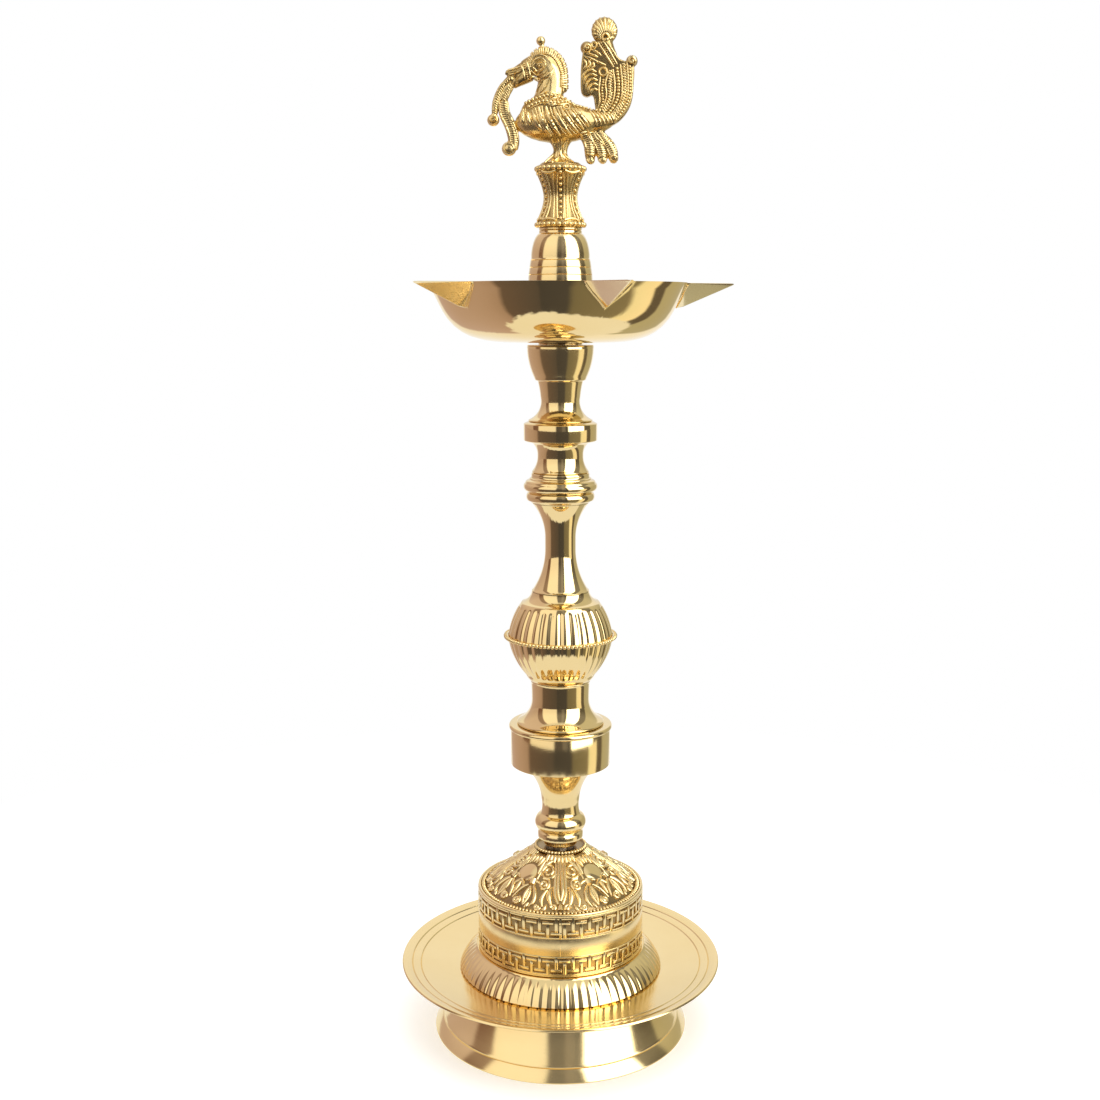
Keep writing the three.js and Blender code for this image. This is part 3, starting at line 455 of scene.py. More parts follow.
def metalMaterial(name, group, settings, bumpStrength, bumpDepth):
    material = bpy.data.materials.new(name)
    material.use_nodes = True
    tree = material.node_tree
    shader = tree.nodes["Principled BSDF"]
    shader.inputs["Metallic"].default_value = 1.0
    effect = tree.nodes.new("ShaderNodeGroup")
    effect.node_tree = group
    for label, value in settings.items():
        effect.inputs[label].default_value = value
    bump = tree.nodes.new("ShaderNodeBump")
    bump.inputs["Strength"].default_value = bumpStrength
    bump.inputs["Distance"].default_value = bumpDepth * mm
    tree.links.new(effect.outputs["Color"], shader.inputs["Base Color"])
    tree.links.new(effect.outputs["Roughness"], shader.inputs["Roughness"])
    tree.links.new(effect.outputs["Height"], bump.inputs["Height"])
    tree.links.new(bump.outputs["Normal"], shader.inputs["Normal"])
    return material


brassSurface = buildBrassSurface()
castSurface = buildCastSurface()
turnedBrass = metalMaterial("turnedBrass", brassSurface, {"Turning Lines": 0.9, "Smudge": 0.09}, 0.5, 0.012)
spunBrass = metalMaterial("spunBrass", brassSurface, {
    "Turning Lines": 0.9,
    "Coarse Lines": 3.0,
    "Smudge": 0.08,
}, 0.6, 0.012)
dishBrass = metalMaterial("dishBrass", brassSurface, {
    "Turning Lines": 0.9,
    "Coarse Lines": 0.8,
    "Smudge": 0.16,
    "Smooth": 0.1,
}, 0.5, 0.012)
mirrorBrass = metalMaterial("mirrorBrass", brassSurface, {
    "Turning Lines": 0.15,
    "Smudge": 0.07,
    "Smooth": 0.045,
}, 0.5, 0.012)
pressedBrass = metalMaterial("pressedBrass", brassSurface, {
    "Turning Lines": 0.1,
    "Smudge": 0.2,
    "Smooth": 0.18,
    "Pits": 0.9,
}, 0.6, 0.02)
# paler than the plain brass: a painted highlight on the raised work, against the painted shade of its ground
reliefBrass = metalMaterial("reliefBrass", brassSurface, {
    "Turning Lines": 0.0,
    "Smudge": 0.12,
    "Smooth": 0.12,
    "Light Brass": (0.96, 0.78, 0.42, 1),
}, 0.5, 0.015)
# painted shade: dark brass for the ground under and between the raised work, standing in for the shade of its
# recesses
shadedGroundBrass = metalMaterial("shadedGroundBrass", brassSurface, {
    "Turning Lines": 0.0,
    "Smudge": 0.25,
    "Smooth": 0.2,
    "Light Brass": (0.46, 0.32, 0.14, 1),
    "Deep Brass": (0.17, 0.11, 0.05, 1),
}, 0.6, 0.03)
castBrass = metalMaterial("castBrass", castSurface, {"Patina": 0.1}, 0.5, 0.02)
# painted shade: darker cast brass that stands in for the shade of the crevices, with more of the random brown
# patches
castHollowShade = metalMaterial("castHollowShade", castSurface, {
    "Patina": 0.6,
    "Bright Brass": (0.62, 0.45, 0.19, 1),
    "Dark Brass": (0.21, 0.13, 0.05, 1),
}, 0.6, 0.03)
# painted reflection: a paler brass for the spouts' faces, so they look as brightly lit as the room makes them
spoutSheenBrass = metalMaterial("spoutSheenBrass", brassSurface, {
    "Light Brass": (0.96, 0.83, 0.55, 1),
    "Deep Brass": (0.90, 0.72, 0.39, 1),
    "Smooth": 0.13,
    "Smudge": 0.07,
    "Turning Lines": 0.0,
}, 0.4, 0.012)
threadSteel = metalMaterial("threadSteel", brassSurface, {
    "Light Brass": (0.58, 0.57, 0.55, 1),
    "Deep Brass": (0.42, 0.41, 0.39, 1),
    "Smooth": 0.24,
    "Smudge": 0.2,
    "Turning Lines": 0.4,
}, 0.5, 0.02)
print("materials made")


# base

footSizes = {
    "rim": 72.8, "edge": 0.9, "rest": 3.0, "groove": 68.0, "grooveHeight": 7.0, "grooveDepth": 0.3,
    "crown": 54.5, "height": 33.5, "flare": -1.3, "wall": 2.0, "bore": 4.8,
}


def makeFoot(size):
    low = lowOf("foot_cone")
    rim, groove, wall, deep = size["rim"], size["groove"], size["wall"], size["grooveDepth"]
    grooveHeight = low + size["grooveHeight"]
    return turnPiece("footBell", [
        [rim - 0.5, low], [rim, low + 0.3], [rim, low + size["edge"]],
        [groove + deep, grooveHeight - deep, 0.12], [groove - 0.2, grooveHeight - deep * 0.6],
        [groove - deep * 0.6, grooveHeight + deep * 0.6],
        [size["crown"], low + size["height"] - 0.6, size["flare"]],
        [size["crown"] - 0.6, low + size["height"]], [size["bore"], low + size["height"]],
        [size["bore"], low + size["height"] - wall],
        [size["crown"] - wall - 0.6, low + size["height"] - wall],
        [groove - 3.2, low + 4.5, -size["flare"]], [rim - size["rest"], low + 0.8],
        [rim - size["rest"], low],
    ], steps=180, edge=0.08, arcSteps=20)


plateSizes = {
    "floor": 60.0, "rim": 91.5, "thick": 1.8, "rise": 6.0, "sag": 0.55, "grooves": (80.7, 85.6),
    "grooveWidth": 0.75, "grooveDepth": 0.5, "bore": 4.8,
}


def makePlate(size):
    low = lowOf("drip_plate")
    floor = low + size["thick"]
    lip = floor + size["rise"]
    def heightAt(radius):
        share = (radius - size["floor"]) / (size["rim"] - size["floor"])
        return floor + size["rise"] * share - size["sag"] * math.sin(math.pi * share)
    corners = [
        [size["floor"], low], [size["rim"] - 0.9, lip - size["thick"], size["sag"]],
        [size["rim"], lip - 0.9], [size["rim"] - 0.5, lip - 0.1], [size["rim"] - 1.4, lip - 0.12],
    ]
    for groove in reversed(size["grooves"]):
        half = size["grooveWidth"] / 2
        corners += [
            [groove + half, heightAt(groove + half)], [groove, heightAt(groove) - size["grooveDepth"]],
            [groove - half, heightAt(groove - half)],
        ]
        corners += [[radius, heightAt(radius)] for radius in (groove - 1.6, groove - 3.0)]
    corners += [[radius, heightAt(radius)] for radius in (74, 70, 66, 63)]
    corners += [[size["floor"], floor], [size["bore"], floor], [size["bore"], low]]
    return turnPiece("dripPlate", corners, steps=200, edge=0.06, arcSteps=12)


collarSizes = {
    "foot": 58.2, "shoulder": 48.6, "height": 12.9, "curve": 1.3, "flutes": 72, "depth": 0.5, "wall": 1.8,
    "crownHole": 39.0,
}


def makeCollar(size):
    low = lowOf("fluted_collar")
    top = low + size["height"]
    def depthAt(height):
        level = (height - low) / size["height"]
        return size["depth"] * min(1, max(0, level + 0.25) / 0.4) * min(1, max(0, 0.97 - level) / 0.16)
    outer = flutedShell("collarFlutes", [
        [size["foot"] - 0.5, low], [size["foot"], low + 0.7],
        [size["shoulder"], top - 0.5, size["curve"]], [size["shoulder"] - 0.3, top],
    ], size["flutes"], depthAt)
    inner = turnOpen("collarLining", [[size["shoulder"] - 0.3, top], [size["crownHole"], top],
                                      [size["crownHole"], top - size["wall"]],
                                      [size["shoulder"] - 3.6, top - size["wall"]],
                                      [size["foot"] - 3.6, low + 1.0, -1.2], [size["foot"] - 3.6, low],
                                      [size["foot"] - 0.5, low]], size["flutes"] * 6)
    return closeFluted("flutedCollar", outer, inner)


dress(makeFoot(footSizes), spunBrass, "base", "polished_brass", "foot_cone")
dress(makePlate(plateSizes), dishBrass, "base", "polished_brass", "drip_plate")
dress(makeCollar(collarSizes), mirrorBrass, "base", "polished_brass", "fluted_collar")
print("foot, plate and collar made")


# drum with its key bands, beads and dome

drumSizes = {"radius": 47.3, "height": 36.4, "wall": 1.6, "ledgeDrop": 1.6, "ledge": 39.0, "sunk": 0.7,
             "lowBand": (1.3, 12.5), "highBand": (22.5, 34.9)}
keySizes = {"count": 32, "bar": 1.7, "cap": 6.2, "rise": 0.12, "depth": 0.9, "capLevel": 0.76, "soft": 0.22,
            "margin": 0.4, "rail": 1.2, "seam": 1.3, "seamLine": 0.3, "seamLineLong": 10.2, "seamSoft": 0.08}
drumBeadSizes = {"count": 132, "radius": 0.98, "ring": 44.3, "long": 1.35, "narrow": 0.92, "height": 2.2,
                 "bed": 0.9, "bedHeight": 0.5}


def makeDrum(size):
    low = lowOf("drum_band")
    top = low + size["height"]
    side, sunk = size["radius"], size["radius"] - size["sunk"]
    inner = side - size["wall"]
    corners = [[side - 0.5, low], [side, low + 0.4]]
    for start, end in (size["lowBand"], size["highBand"]):
        corners += [
            [side, low + start], [sunk, low + start + 0.25], [sunk, low + end - 0.25], [side, low + end],
        ]
    corners += [
        [side, top - 0.5], [side - 0.5, top], [inner + 0.3, top], [inner, top - 0.3],
        [inner, top - size["ledgeDrop"]], [size["ledge"], top - size["ledgeDrop"]],
        [size["ledge"], top - size["ledgeDrop"] - 1.4], [inner, top - size["ledgeDrop"] - 1.4],
        [inner, low],
    ]
    return turnPiece("drumWall", corners, steps=180, edge=0.12)


def makeKeyBand(name, low, high, size, drum):
    # a T that stands on the lower rail and one that hangs from the upper rail, carried round the drum
    radius = drum["radius"] + size["rise"] - size["depth"] / 2
    half = math.pi / size["count"]
    height = high - low
    up = low + height * size["capLevel"]
    down = high - height * size["capLevel"]
    clearSelection()
    start = -math.pi / 2 + half / 2
    bars = []
    for turn, level, foot in ((start, up, low), (start + half, down, high)):
        direction = Vector((math.cos(turn), math.sin(turn), 0)) * radius
        upright = (size["depth"], size["bar"], abs(level - foot))
        bars.append(addBar(direction + Vector((0, 0, (level + foot) / 2)), upright, turn))
        cap = (size["depth"] + 0.01, size["cap"], size["bar"])
        bars.append(addBar(direction + Vector((0, 0, level)), cap, turn))
    key = joinPieces(name, bars)
    softenEdges(key, size["soft"])
    return repeatRound(key, size["count"])


def makeRails(name, drum, size):
    # a rail above and below each band of keys
    low = lowOf("drum_band")
    outer = drum["radius"] + size["rise"]
    inner = outer - size["depth"]
    rails = []
    for index, band in enumerate((drum["lowBand"], drum["highBand"])):
        for level in (band[0] + size["rail"] / 2, band[1] - size["rail"] / 2):
            foot, head = low + level - size["rail"] / 2, low + level + size["rail"] / 2
            corners = [[outer, foot], [outer, head], [inner, head], [inner, foot]]
            rails.append(turnPiece(f"rail{index}", corners, steps=180, edge=0.2))
    return joinPieces(name, rails)


def makeSeam(drum, size):
    # the upright joint of the drum's sheet: a bar in the upper band and a faint line below it
    low = lowOf("drum_band")
    front = -drum["radius"] - size["rise"] + size["depth"] / 2
    bandLow, bandHigh = drum["highBand"]
    clearSelection()
    bar = addBar(
        (0, front, low + (bandLow + bandHigh) / 2),
        (size["seam"], size["depth"] + 0.1, bandHigh - bandLow), 0
    )
    line = addBar(
        (0, front + size["rise"] - 0.03, low + bandLow - 5),
        (size["seamLine"], size["depth"], size["seamLineLong"]), 0
    )
    seam = joinPieces("drumSeam", [bar, line])
    softenEdges(seam, size["seamSoft"])
    return seam


def makeBandGround(drum):
    # the sunk ground behind the keys, a strip painted dark as the shade round them
    low = lowOf("drum_band")
    outer = drum["radius"] - drum["sunk"] + 0.06
    inner = outer - 0.4
    strips = []
    for index, band in enumerate((drum["lowBand"], drum["highBand"])):
        foot, head = low + band[0] + 0.3, low + band[1] - 0.3
        corners = [[outer, foot], [outer, head], [inner, head], [inner, foot]]
        strips.append(turnPiece(f"ground{index}", corners, steps=180, edge=0.05))
    return joinPieces("bandGround", strips)


def makeDrumBeads(size):
    low = lowOf("drum_bead_ring")
    outer, inner = size["ring"] + size["bed"], size["ring"] - size["bed"]
    ring = turnPiece("beadBed", [
        [outer, low], [outer, low + size["bedHeight"]], [inner, low + size["bedHeight"]], [inner, low],
    ], steps=120, edge=0.2)
    level = low + size["height"] - size["radius"]
    bead = makeBeads("drumBead", [((size["ring"], 0, level), size["radius"])])
    pickOnly(bead)
    bpy.ops.object.mode_set(mode="EDIT")
    bpy.ops.mesh.select_all(action="SELECT")
    bpy.ops.transform.resize(
        value=(size["long"], size["narrow"], 1), center_override=Vector((size["ring"], 0, level)) * mm
    )
    bpy.ops.object.mode_set(mode="OBJECT")
    return ring, repeatRound(bead, size["count"])


dress(makeDrum(drumSizes), pressedBrass, "base", "polished_brass", "drum_band")
drumLow = lowOf("drum_band")
keyParts = []
for index, band in enumerate((drumSizes["lowBand"], drumSizes["highBand"])):
    foot, head = drumLow + band[0] + keySizes["margin"], drumLow + band[1] - keySizes["margin"]
    keyParts.append(makeKeyBand(f"key{index}", foot, head, keySizes, drumSizes))
keyParts += [makeRails("keyRails", drumSizes, keySizes), makeSeam(drumSizes, keySizes)]
dress(joinPieces("keyBands", keyParts), reliefBrass, "base", "polished_brass")
dress(makeBandGround(drumSizes), shadedGroundBrass, "base", "polished_brass")
beadBed, drumBeads = makeDrumBeads(drumBeadSizes)
dress(drumBeads, reliefBrass, "base", "polished_brass", "drum_bead_ring")
# the bed under the beads is painted dark, as painted shade beneath them
dress(beadBed, shadedGroundBrass, "base", "polished_brass")
print("drum made")

domeSizes = {
    "radius": 42.9, "edge": 0.8, "rise": 22.0, "swell": 1.2, "neck": 14.6, "collar": 2.9, "wall": 1.4,
    "bore": 4.8, "boreRing": 11.2, "steps": 14,
}


def domeRadiusAt(height, size):
    # the outer wall's radius at a height above the dome's edge
    share = min(1, max(0, (height - size["edge"]) / (size["rise"] - size["edge"])))
    slope = size["radius"] + (size["neck"] - size["radius"]) * share
    return slope + size["swell"] * math.sin(math.pi * share)


def makeDome(size):
    low = lowOf("dome_cover")
    steps = size["steps"]
    levels = [size["edge"] + (size["rise"] - size["edge"]) * step / steps for step in range(steps + 1)]
    side = [[domeRadiusAt(level, size), low + level] for level in levels]
    neck = size["neck"]
    top = low + size["rise"] + size["collar"]
    return turnPiece("domeShell", [[size["radius"], low]] + side + [
        [neck - 1.6, low + size["rise"] + 0.4], [neck - 1.6, top - 1.7], [neck - 0.4, top - 1.3],
        [neck - 0.2, top - 0.6], [neck - 1.0, top - 0.2], [size["boreRing"], top - 1.6, -0.4],
        [size["bore"], top - 1.6], [size["bore"], top - 2.8], [neck - 2, top - 2.8],
        [neck - 2, low + size["rise"] - 1.4], [size["radius"] - size["wall"], low, -1.2],
    ], steps=160, edge=0.15)


reliefSizes = {"repeats": 4, "swell": 2.0, "sink": 0.1, "thin": 0.5, "thick": 0.95}


def onDome(turn, height, lift=0.0):
    angle = math.radians(turn) - math.pi / 2
    radius = domeRadiusAt(height, domeSizes) + lift
    return (radius * math.cos(angle), radius * math.sin(angle), lowOf("dome_cover") + height)


def domeStroke(points, radii, side=1):
    # each rib is sunk a little into the dome
    if isinstance(radii, (int, float)):
        radii = [radii] * len(points)
    swell, sink = reliefSizes["swell"], reliefSizes["sink"]
    return [
        (onDome(side * turn, height, -sink * radius), radius * swell)
        for (turn, height), radius in zip(points, radii)
    ]


def domeScroll(turn, height, size, turns, side, thick, start=90):
    # a spiral that winds in round its eye
    points = []
    count = int(10 * turns)
    spread = math.degrees(1 / domeRadiusAt(height, domeSizes))
    for step in range(count + 1):
        share = step / count
        angle = math.radians(start + 360 * turns * share)
        reach = size * (1 - 0.82 * share)
        points.append((turn + reach * math.cos(angle) * spread, height + reach * math.sin(angle) * 0.7))
    return domeStroke(points, thick, side)


def makeRelief(size):
    # one quarter of the embossing, in degrees round the dome and millimetres above its edge
    thin, thick = size["thin"], size["thick"]
    strokes = []
    for side in (-1, 1):
        strokes += [
            # the upright spear with its groove, and the leaves beside it
            domeStroke([(1.2, 20.6), (1.8, 16.4), (2.4, 11.4), (2.5, 8.2), (0.3, 5.4)],
                       [0.45, 0.5, 0.62, 0.62, 0.3], side),
            domeStroke([(6.4, 19.4), (6.0, 16), (5.9, 12), (5.6, 9.2), (4.4, 6.6), (1.8, 4.0)], thin, side),
            domeStroke([(8.4, 10.6), (10.6, 8.6), (9.8, 5.6), (7.2, 3.4)], [0.3, 0.8, 0.8, 0.3], side),
            domeStroke([(13, 9.4), (16, 7.4), (16.6, 4.8), (14.4, 2.8)], [0.3, 0.65, 0.65, 0.3], side),
            domeScroll(5.4, 2.7, 1.9, 1.1, side, thin, start=0),
            # two nested scrolls and the line that holds them
            domeScroll(16.4, 16.4, 4.6, 1.8, side, thin - 0.04, start=200),
            domeScroll(17.2, 11.2, 3.6, 1.6, side, thin - 0.04, start=60),
            domeStroke([(8, 20.6), (15, 20.3), (22, 19.0), (27, 16.2), (27.6, 12.8)],
                       [0.3, thin, thin + 0.08, thin, 0.25], side),
            # the hanging leaf with its knot and arms
            domeStroke([(31, 12.6), (31, 10.6)], thick, side),
            domeStroke([(22, 11.2), (26, 12.4), (31, 11.4), (36, 12.7), (40.4, 11.6)],
                       [0.3, 0.55, 0.7, 0.55, 0.3], side),
            domeStroke([(31, 9.8), (28.8, 7.6), (29.0, 5.0), (31, 2.4)], [0.4, thin, thin, 0.3], side),
            domeStroke([(31, 9.8), (33.2, 7.6), (33.0, 5.0), (31, 2.4)], [0.4, thin, thin, 0.3], side),
            domeStroke([(31, 8.2), (31, 4.8)], 0.36, side),
            domeStroke([(28, 10.2), (25, 8.9), (22.6, 6.4), (22.8, 3.8), (25.2, 2.2)],
                       [0.4, 0.62, 0.62, 0.55, 0.3], side),
            domeStroke([(34, 10.2), (38, 9.0), (41.2, 6.6), (43.2, 4.0)], [0.4, 0.62, 0.55, 0.3], side),
            domeScroll(38.2, 3.6, 2.5, 1.4, side, thin, start=120),
            domeScroll(18.6, 2.4, 1.8, 1.2, side, thin, start=180),
            domeStroke([(11.5, 3.8), (12.0, 2.4), (13.4, 1.4)], [0.3, 0.75, 0.5], side),
            domeStroke([(26.5, 3.6), (27.4, 2.4), (28.6, 1.5)], [0.3, 0.7, 0.4], side),
            # leaflets over the smooth window
            domeStroke([(33, 20.8), (35.6, 19.2), (36, 17.4)], [0.5, 0.85, 0.25], side),
            domeStroke([(40, 21.0), (42, 19.8), (42.4, 18.2)], [0.5, 0.8, 0.25], side),
            domeStroke([(28.6, 20.0), (30.2, 17.4), (29.8, 14.8)], [0.4, 0.75, 0.25], side),
        ]
        strokes += [
            domeStroke([(turn, 22.0), (turn, 20.8), (turn, 19.6)], [0.7, 0.75, 0.3], side)
            for turn in (3.6, 11.2, 18.8, 26.4)
        ]
    strokes.append(domeStroke([(45, 10.6), (45, 8.2), (45, 5.4)], [0.4, 0.85, 0.3]))
    strokes.append(domeStroke([
        (37.5, 8.4), (41, 10.4), (45, 11.2), (49, 10.4), (52.5, 8.4),
    ], [0.3, 0.5, 0.6, 0.5, 0.3]))
    strokes.append(domeStroke([(0, 3.8), (0, 1.6)], [0.6, 0.9]))
    return repeatRound(makeStrokes("domeRelief", strokes), size["repeats"])


windowSizes = {"turn": 45, "height": 14.6, "wide": 13.2, "high": 3.0, "lift": 1.1, "thick": 0.5}


def makeWindows(size):
    # the smooth shields between the leaves: a round disc laid on the dome
    clearSelection()
    bpy.ops.mesh.primitive_circle_add(vertices=28, radius=1, fill_type="TRIFAN")
    window = bpy.context.object
    bpy.ops.object.mode_set(mode="EDIT")
    bpy.ops.mesh.select_all(action="SELECT")
    bpy.ops.mesh.subdivide(number_cuts=3)
    bpy.ops.object.mode_set(mode="OBJECT")
    for vert in window.data.vertices:
        turn, height = size["turn"] + size["wide"] * vert.co.x, size["height"] + size["high"] * vert.co.y
        swell = size["lift"] * (1 - vert.co.x ** 2 - vert.co.y ** 2)
        vert.co = Vector(onDome(turn, height, 0.1 + swell)) * mm
    bpy.ops.object.modifier_add(type="SOLIDIFY")
    wall = window.modifiers[-1]
    wall.thickness = size["thick"] * mm
    wall.offset = 0
    bpy.ops.object.modifier_apply(modifier=wall.name)
    bpy.ops.object.shade_smooth_by_angle(angle=math.radians(50))
    return repeatRound(window, reliefSizes["repeats"])


neckBeadSizes = {"ring": 14.2, "height": 23.9, "radius": 0.98, "count": 46}


def makeNeckBeads(size):
    level = lowOf("dome_cover") + size["height"]
    bead = makeBeads("neckBead", [((size["ring"], 0, level), size["radius"])])
    return repeatRound(bead, size["count"])


# the dome's ground is painted dark, as painted shade between the raised leaves
dress(makeDome(domeSizes), shadedGroundBrass, "base", "polished_brass", "dome_cover")
domeRelief = joinPieces("domeRelief", [makeRelief(reliefSizes), makeNeckBeads(neckBeadSizes)])
dress(domeRelief, reliefBrass, "base", "polished_brass")
dress(makeWindows(windowSizes), mirrorBrass, "base", "polished_brass")
print("dome made")


# stem, from the base up

lowerStemSizes = {
    "root": 9.5, "rootHeight": 3.4, "foot": 12.9, "footHeight": 8.3, "bulb": 14.6, "bulbHeight": 9.6,
    "step": 0.8, "waist": 10.9, "waistHeight": 26.5, "cup": 22.0, "height": 47.6,
    "bore": 6.0, "boreFoot": 16.0, "socket": 8.1, "socketTop": 5.4,
}


def makeLowerStem(size):
    low = lowOf("lower_stem")
    bulbLow, top = low + size["footHeight"], low + size["height"]
    bulbTop = bulbLow + size["bulbHeight"]
    side = size["foot"] - size["step"]
    return turnPiece("lowerStem", [
        [size["root"] - 0.3, low], [size["root"], low + 0.4],
        [size["root"] + 0.1, low + size["rootHeight"] - 0.5, -0.1],
        [size["foot"] - 0.6, low + size["rootHeight"] + 0.1],
        [size["foot"], low + size["rootHeight"] + 0.7], [size["foot"], bulbLow - 1.1],
        [size["foot"] - 0.3, bulbLow - 0.6], [side - 0.2, bulbLow],
        [side - 0.2, bulbTop, size["bulb"] - side + 0.2], [side - 0.9, bulbTop + 0.5],
        [size["waist"], low + size["waistHeight"], -0.5], [size["cup"] - 0.9, top - 1.1, -2.4],
        [size["cup"], top - 0.7], [size["cup"], top], [size["bore"], top],
        [size["bore"], low + size["boreFoot"]], [size["socket"], low + size["socketTop"]],
        [size["socket"], low],
    ], edge=0.12)


ringSizes = {"side": 28.0, "lip": 29.0, "lipHeight": 3.0, "height": 23.8, "hollow": 20.5, "floor": 3.0,
             "bore": 6.0}


def makeRingDrum(size):
    low = lowOf("ring_drum")
    top = low + size["height"]
    return turnPiece("ringDrum", [
        [size["side"] - 0.5, low], [size["side"], low + 0.4],
        [size["side"], top - size["lipHeight"] - 0.5], [size["side"] - 0.25, top - size["lipHeight"]],
        [size["lip"] - 0.2, top - size["lipHeight"] + 0.3], [size["lip"], top - size["lipHeight"] + 0.8],
        [size["lip"], top - 1.1, 0.1], [size["lip"] - 1.2, top - 0.1, 0.25], [size["hollow"], top],
        [size["hollow"], low + size["floor"]], [size["bore"], low + size["floor"]], [size["bore"], low],
    ], edge=0.1)


neckSizes = {"foot": 24.5, "waist": 16.15, "waistHeight": 13.5, "top": 16.9, "height": 25.0, "bore": 4.9,
             "boreDepth": 10.0, "hollow": 8.0}


def makeRingNeck(size):
    low = lowOf("ring_neck")
    top = low + size["height"]
    return turnPiece("ringNeck", [
        [size["foot"] - 0.2, low], [size["foot"], low + 0.8], [size["foot"] - 0.7, low + 1.5],
        [size["waist"], low + size["waistHeight"], -2.08], [size["top"] - 0.4, top - 1.2, -0.09],
        [size["top"], top - 0.6], [size["top"], top], [size["bore"], top],
        [size["bore"], top - size["boreDepth"]], [size["hollow"], top - size["boreDepth"] - 2],
        [size["hollow"], low],
    ], edge=0.1)


ballSizes = {
    "radius": 29.3, "pole": 17.2, "lip": 19.6, "lipHeight": 3.4, "lowCurve": 1.9, "shoulder": 21.6,
    "shoulderHeight": 19.0, "topCurve": 1.3, "topPole": 15.9, "saddle": 1.2, "flutes": 32, "depth": 0.75,
    "lowDepth": 0.55, "fluteTop": 17.0, "fluteFoot": 21.4, "fluteEnd": 0.6, "wall": 3.0, "topBore": 6.0,
    "topBoreDepth": 2.5, "bore": 7.6, "floor": 12.0, "liningCurve": 3.0,
}
ballBeadSizes = {"ring": 30.3, "radius": 1.05, "count": 88, "out": 0.45, "bandHalf": 0.75, "band": 0.1,
                 "bandDepth": 1.0}


def makeBallShell(name, node, size, upper):
    # half the ball: a fluted outer wall, closed with a plain lining
    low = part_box(node)[0].z / mm
    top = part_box(node)[1].z / mm
    seam = low if upper else top
    inner = size["radius"] - size["wall"]
    end = size["fluteTop"] if upper else size["fluteFoot"]
    deepest = size["depth"] if upper else size["lowDepth"]
    def depthAt(height):
        away = abs(height - seam)
        fade = min(1, max(0, (end - away) / size["fluteEnd"]))
        return deepest * math.sqrt(fade)
    if upper:
        pole = size["topPole"]
        corners = [[size["radius"], low], [size["shoulder"], low + size["shoulderHeight"], size["topCurve"]],
                   [pole, top, -size["saddle"]]]
        lining = [[pole, top], [size["topBore"], top], [size["topBore"], top - size["topBoreDepth"]],
                  [inner, low + 0.5, size["liningCurve"]], [inner, low], [size["radius"], low]]
    else:
        pole = size["pole"]
        corners = [
            [pole, low], [size["lip"], low + size["lipHeight"], 0.3],
            [size["radius"], top, size["lowCurve"]],
        ]
        lining = [[size["radius"], top], [inner, top], [inner, top - 0.5],
                  [size["bore"], low + size["floor"], size["liningCurve"]], [size["bore"], low], [pole, low]]
    outer = flutedShell(name + "Flutes", corners, size["flutes"], depthAt, arcSteps=26, columns=8)
    return closeFluted(name, outer, turnOpen(name + "Lining", lining, size["flutes"] * 8))


def makeBallBeads(size):
    seam = (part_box("ball_bead_ring")[0].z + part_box("ball_bead_ring")[1].z) / 2 / mm
    foot, head = seam - size["bandHalf"], seam + size["bandHalf"]
    outer, inner = size["ring"] + size["band"], size["ring"] - size["bandDepth"]
    band = turnPiece("ballBand", [[outer, foot], [outer, head], [inner, head], [inner, foot]],
                     steps=120, edge=0.15)
    bead = makeBeads("ballBead", [((size["ring"] + size["out"], 0, seam), size["radius"])])
    return joinPieces("ballBeads", [band, repeatRound(bead, size["count"])])


middleSizes = {"foot": 15.9, "waist": 8.52, "waistLow": 23.5, "waistHigh": 29.9, "top": 15.8,
               "height": 49.5, "socket": 4.9, "socketDepth": 10.0, "bore": 4.0}


def makeMiddleStem(size):
    low = lowOf("middle_stem")
    top = low + size["height"]
    return turnPiece("middleStem", [
        [size["foot"], low], [size["foot"], low + 0.5], [size["foot"] - 0.7, low + 1.0],
        [size["waist"], low + size["waistLow"], -1.71], [size["waist"], low + size["waistHigh"]],
        [size["top"] - 0.5, top - 0.6, -1.75], [size["top"], top], [size["socket"], top],
        [size["socket"], top - size["socketDepth"]], [size["bore"], top - size["socketDepth"] - 1],
        [size["bore"], low],
    ], edge=0.1, arcSteps=20)


doubleSizes = {"foot": 16.5, "low": 18.3, "step": 18.4, "high": 19.4, "top": 15.9, "height": 16.3,
               "bore": 6.0, "boreFoot": 11.0, "seat": 7.6}


def makeDoubleRing(size):
    low = lowOf("double_ring")
    return turnPiece("doubleRing", [
        [size["foot"] - 0.6, low], [size["foot"], low + 0.5, 0.1], [size["low"], low + 1.4, -0.2],
        [size["low"], low + 5.2, 0.55], [size["low"] - 0.9, low + 6.0, -0.1],
        [size["step"] - 0.2, low + 6.3], [size["high"], low + 11.0, 1.5],
        [size["high"] - 1.8, low + 12.6, 0.4], [size["high"] - 2.4, low + 13.4, -0.15],
        [size["top"] + 0.2, low + 15.2, -0.4], [size["top"] - 0.1, low + size["height"]],
        [size["bore"], low + size["height"]], [size["bore"], low + size["boreFoot"]],
        [size["seat"], low + 1.2], [size["seat"], low],
    ], edge=0.08)


flatSizes = {"neckEnd": 15.7, "neck": 12.6, "neckHeight": 17.4, "ring": 20.1, "ringHeight": 10.6,
             "bore": 6.0}


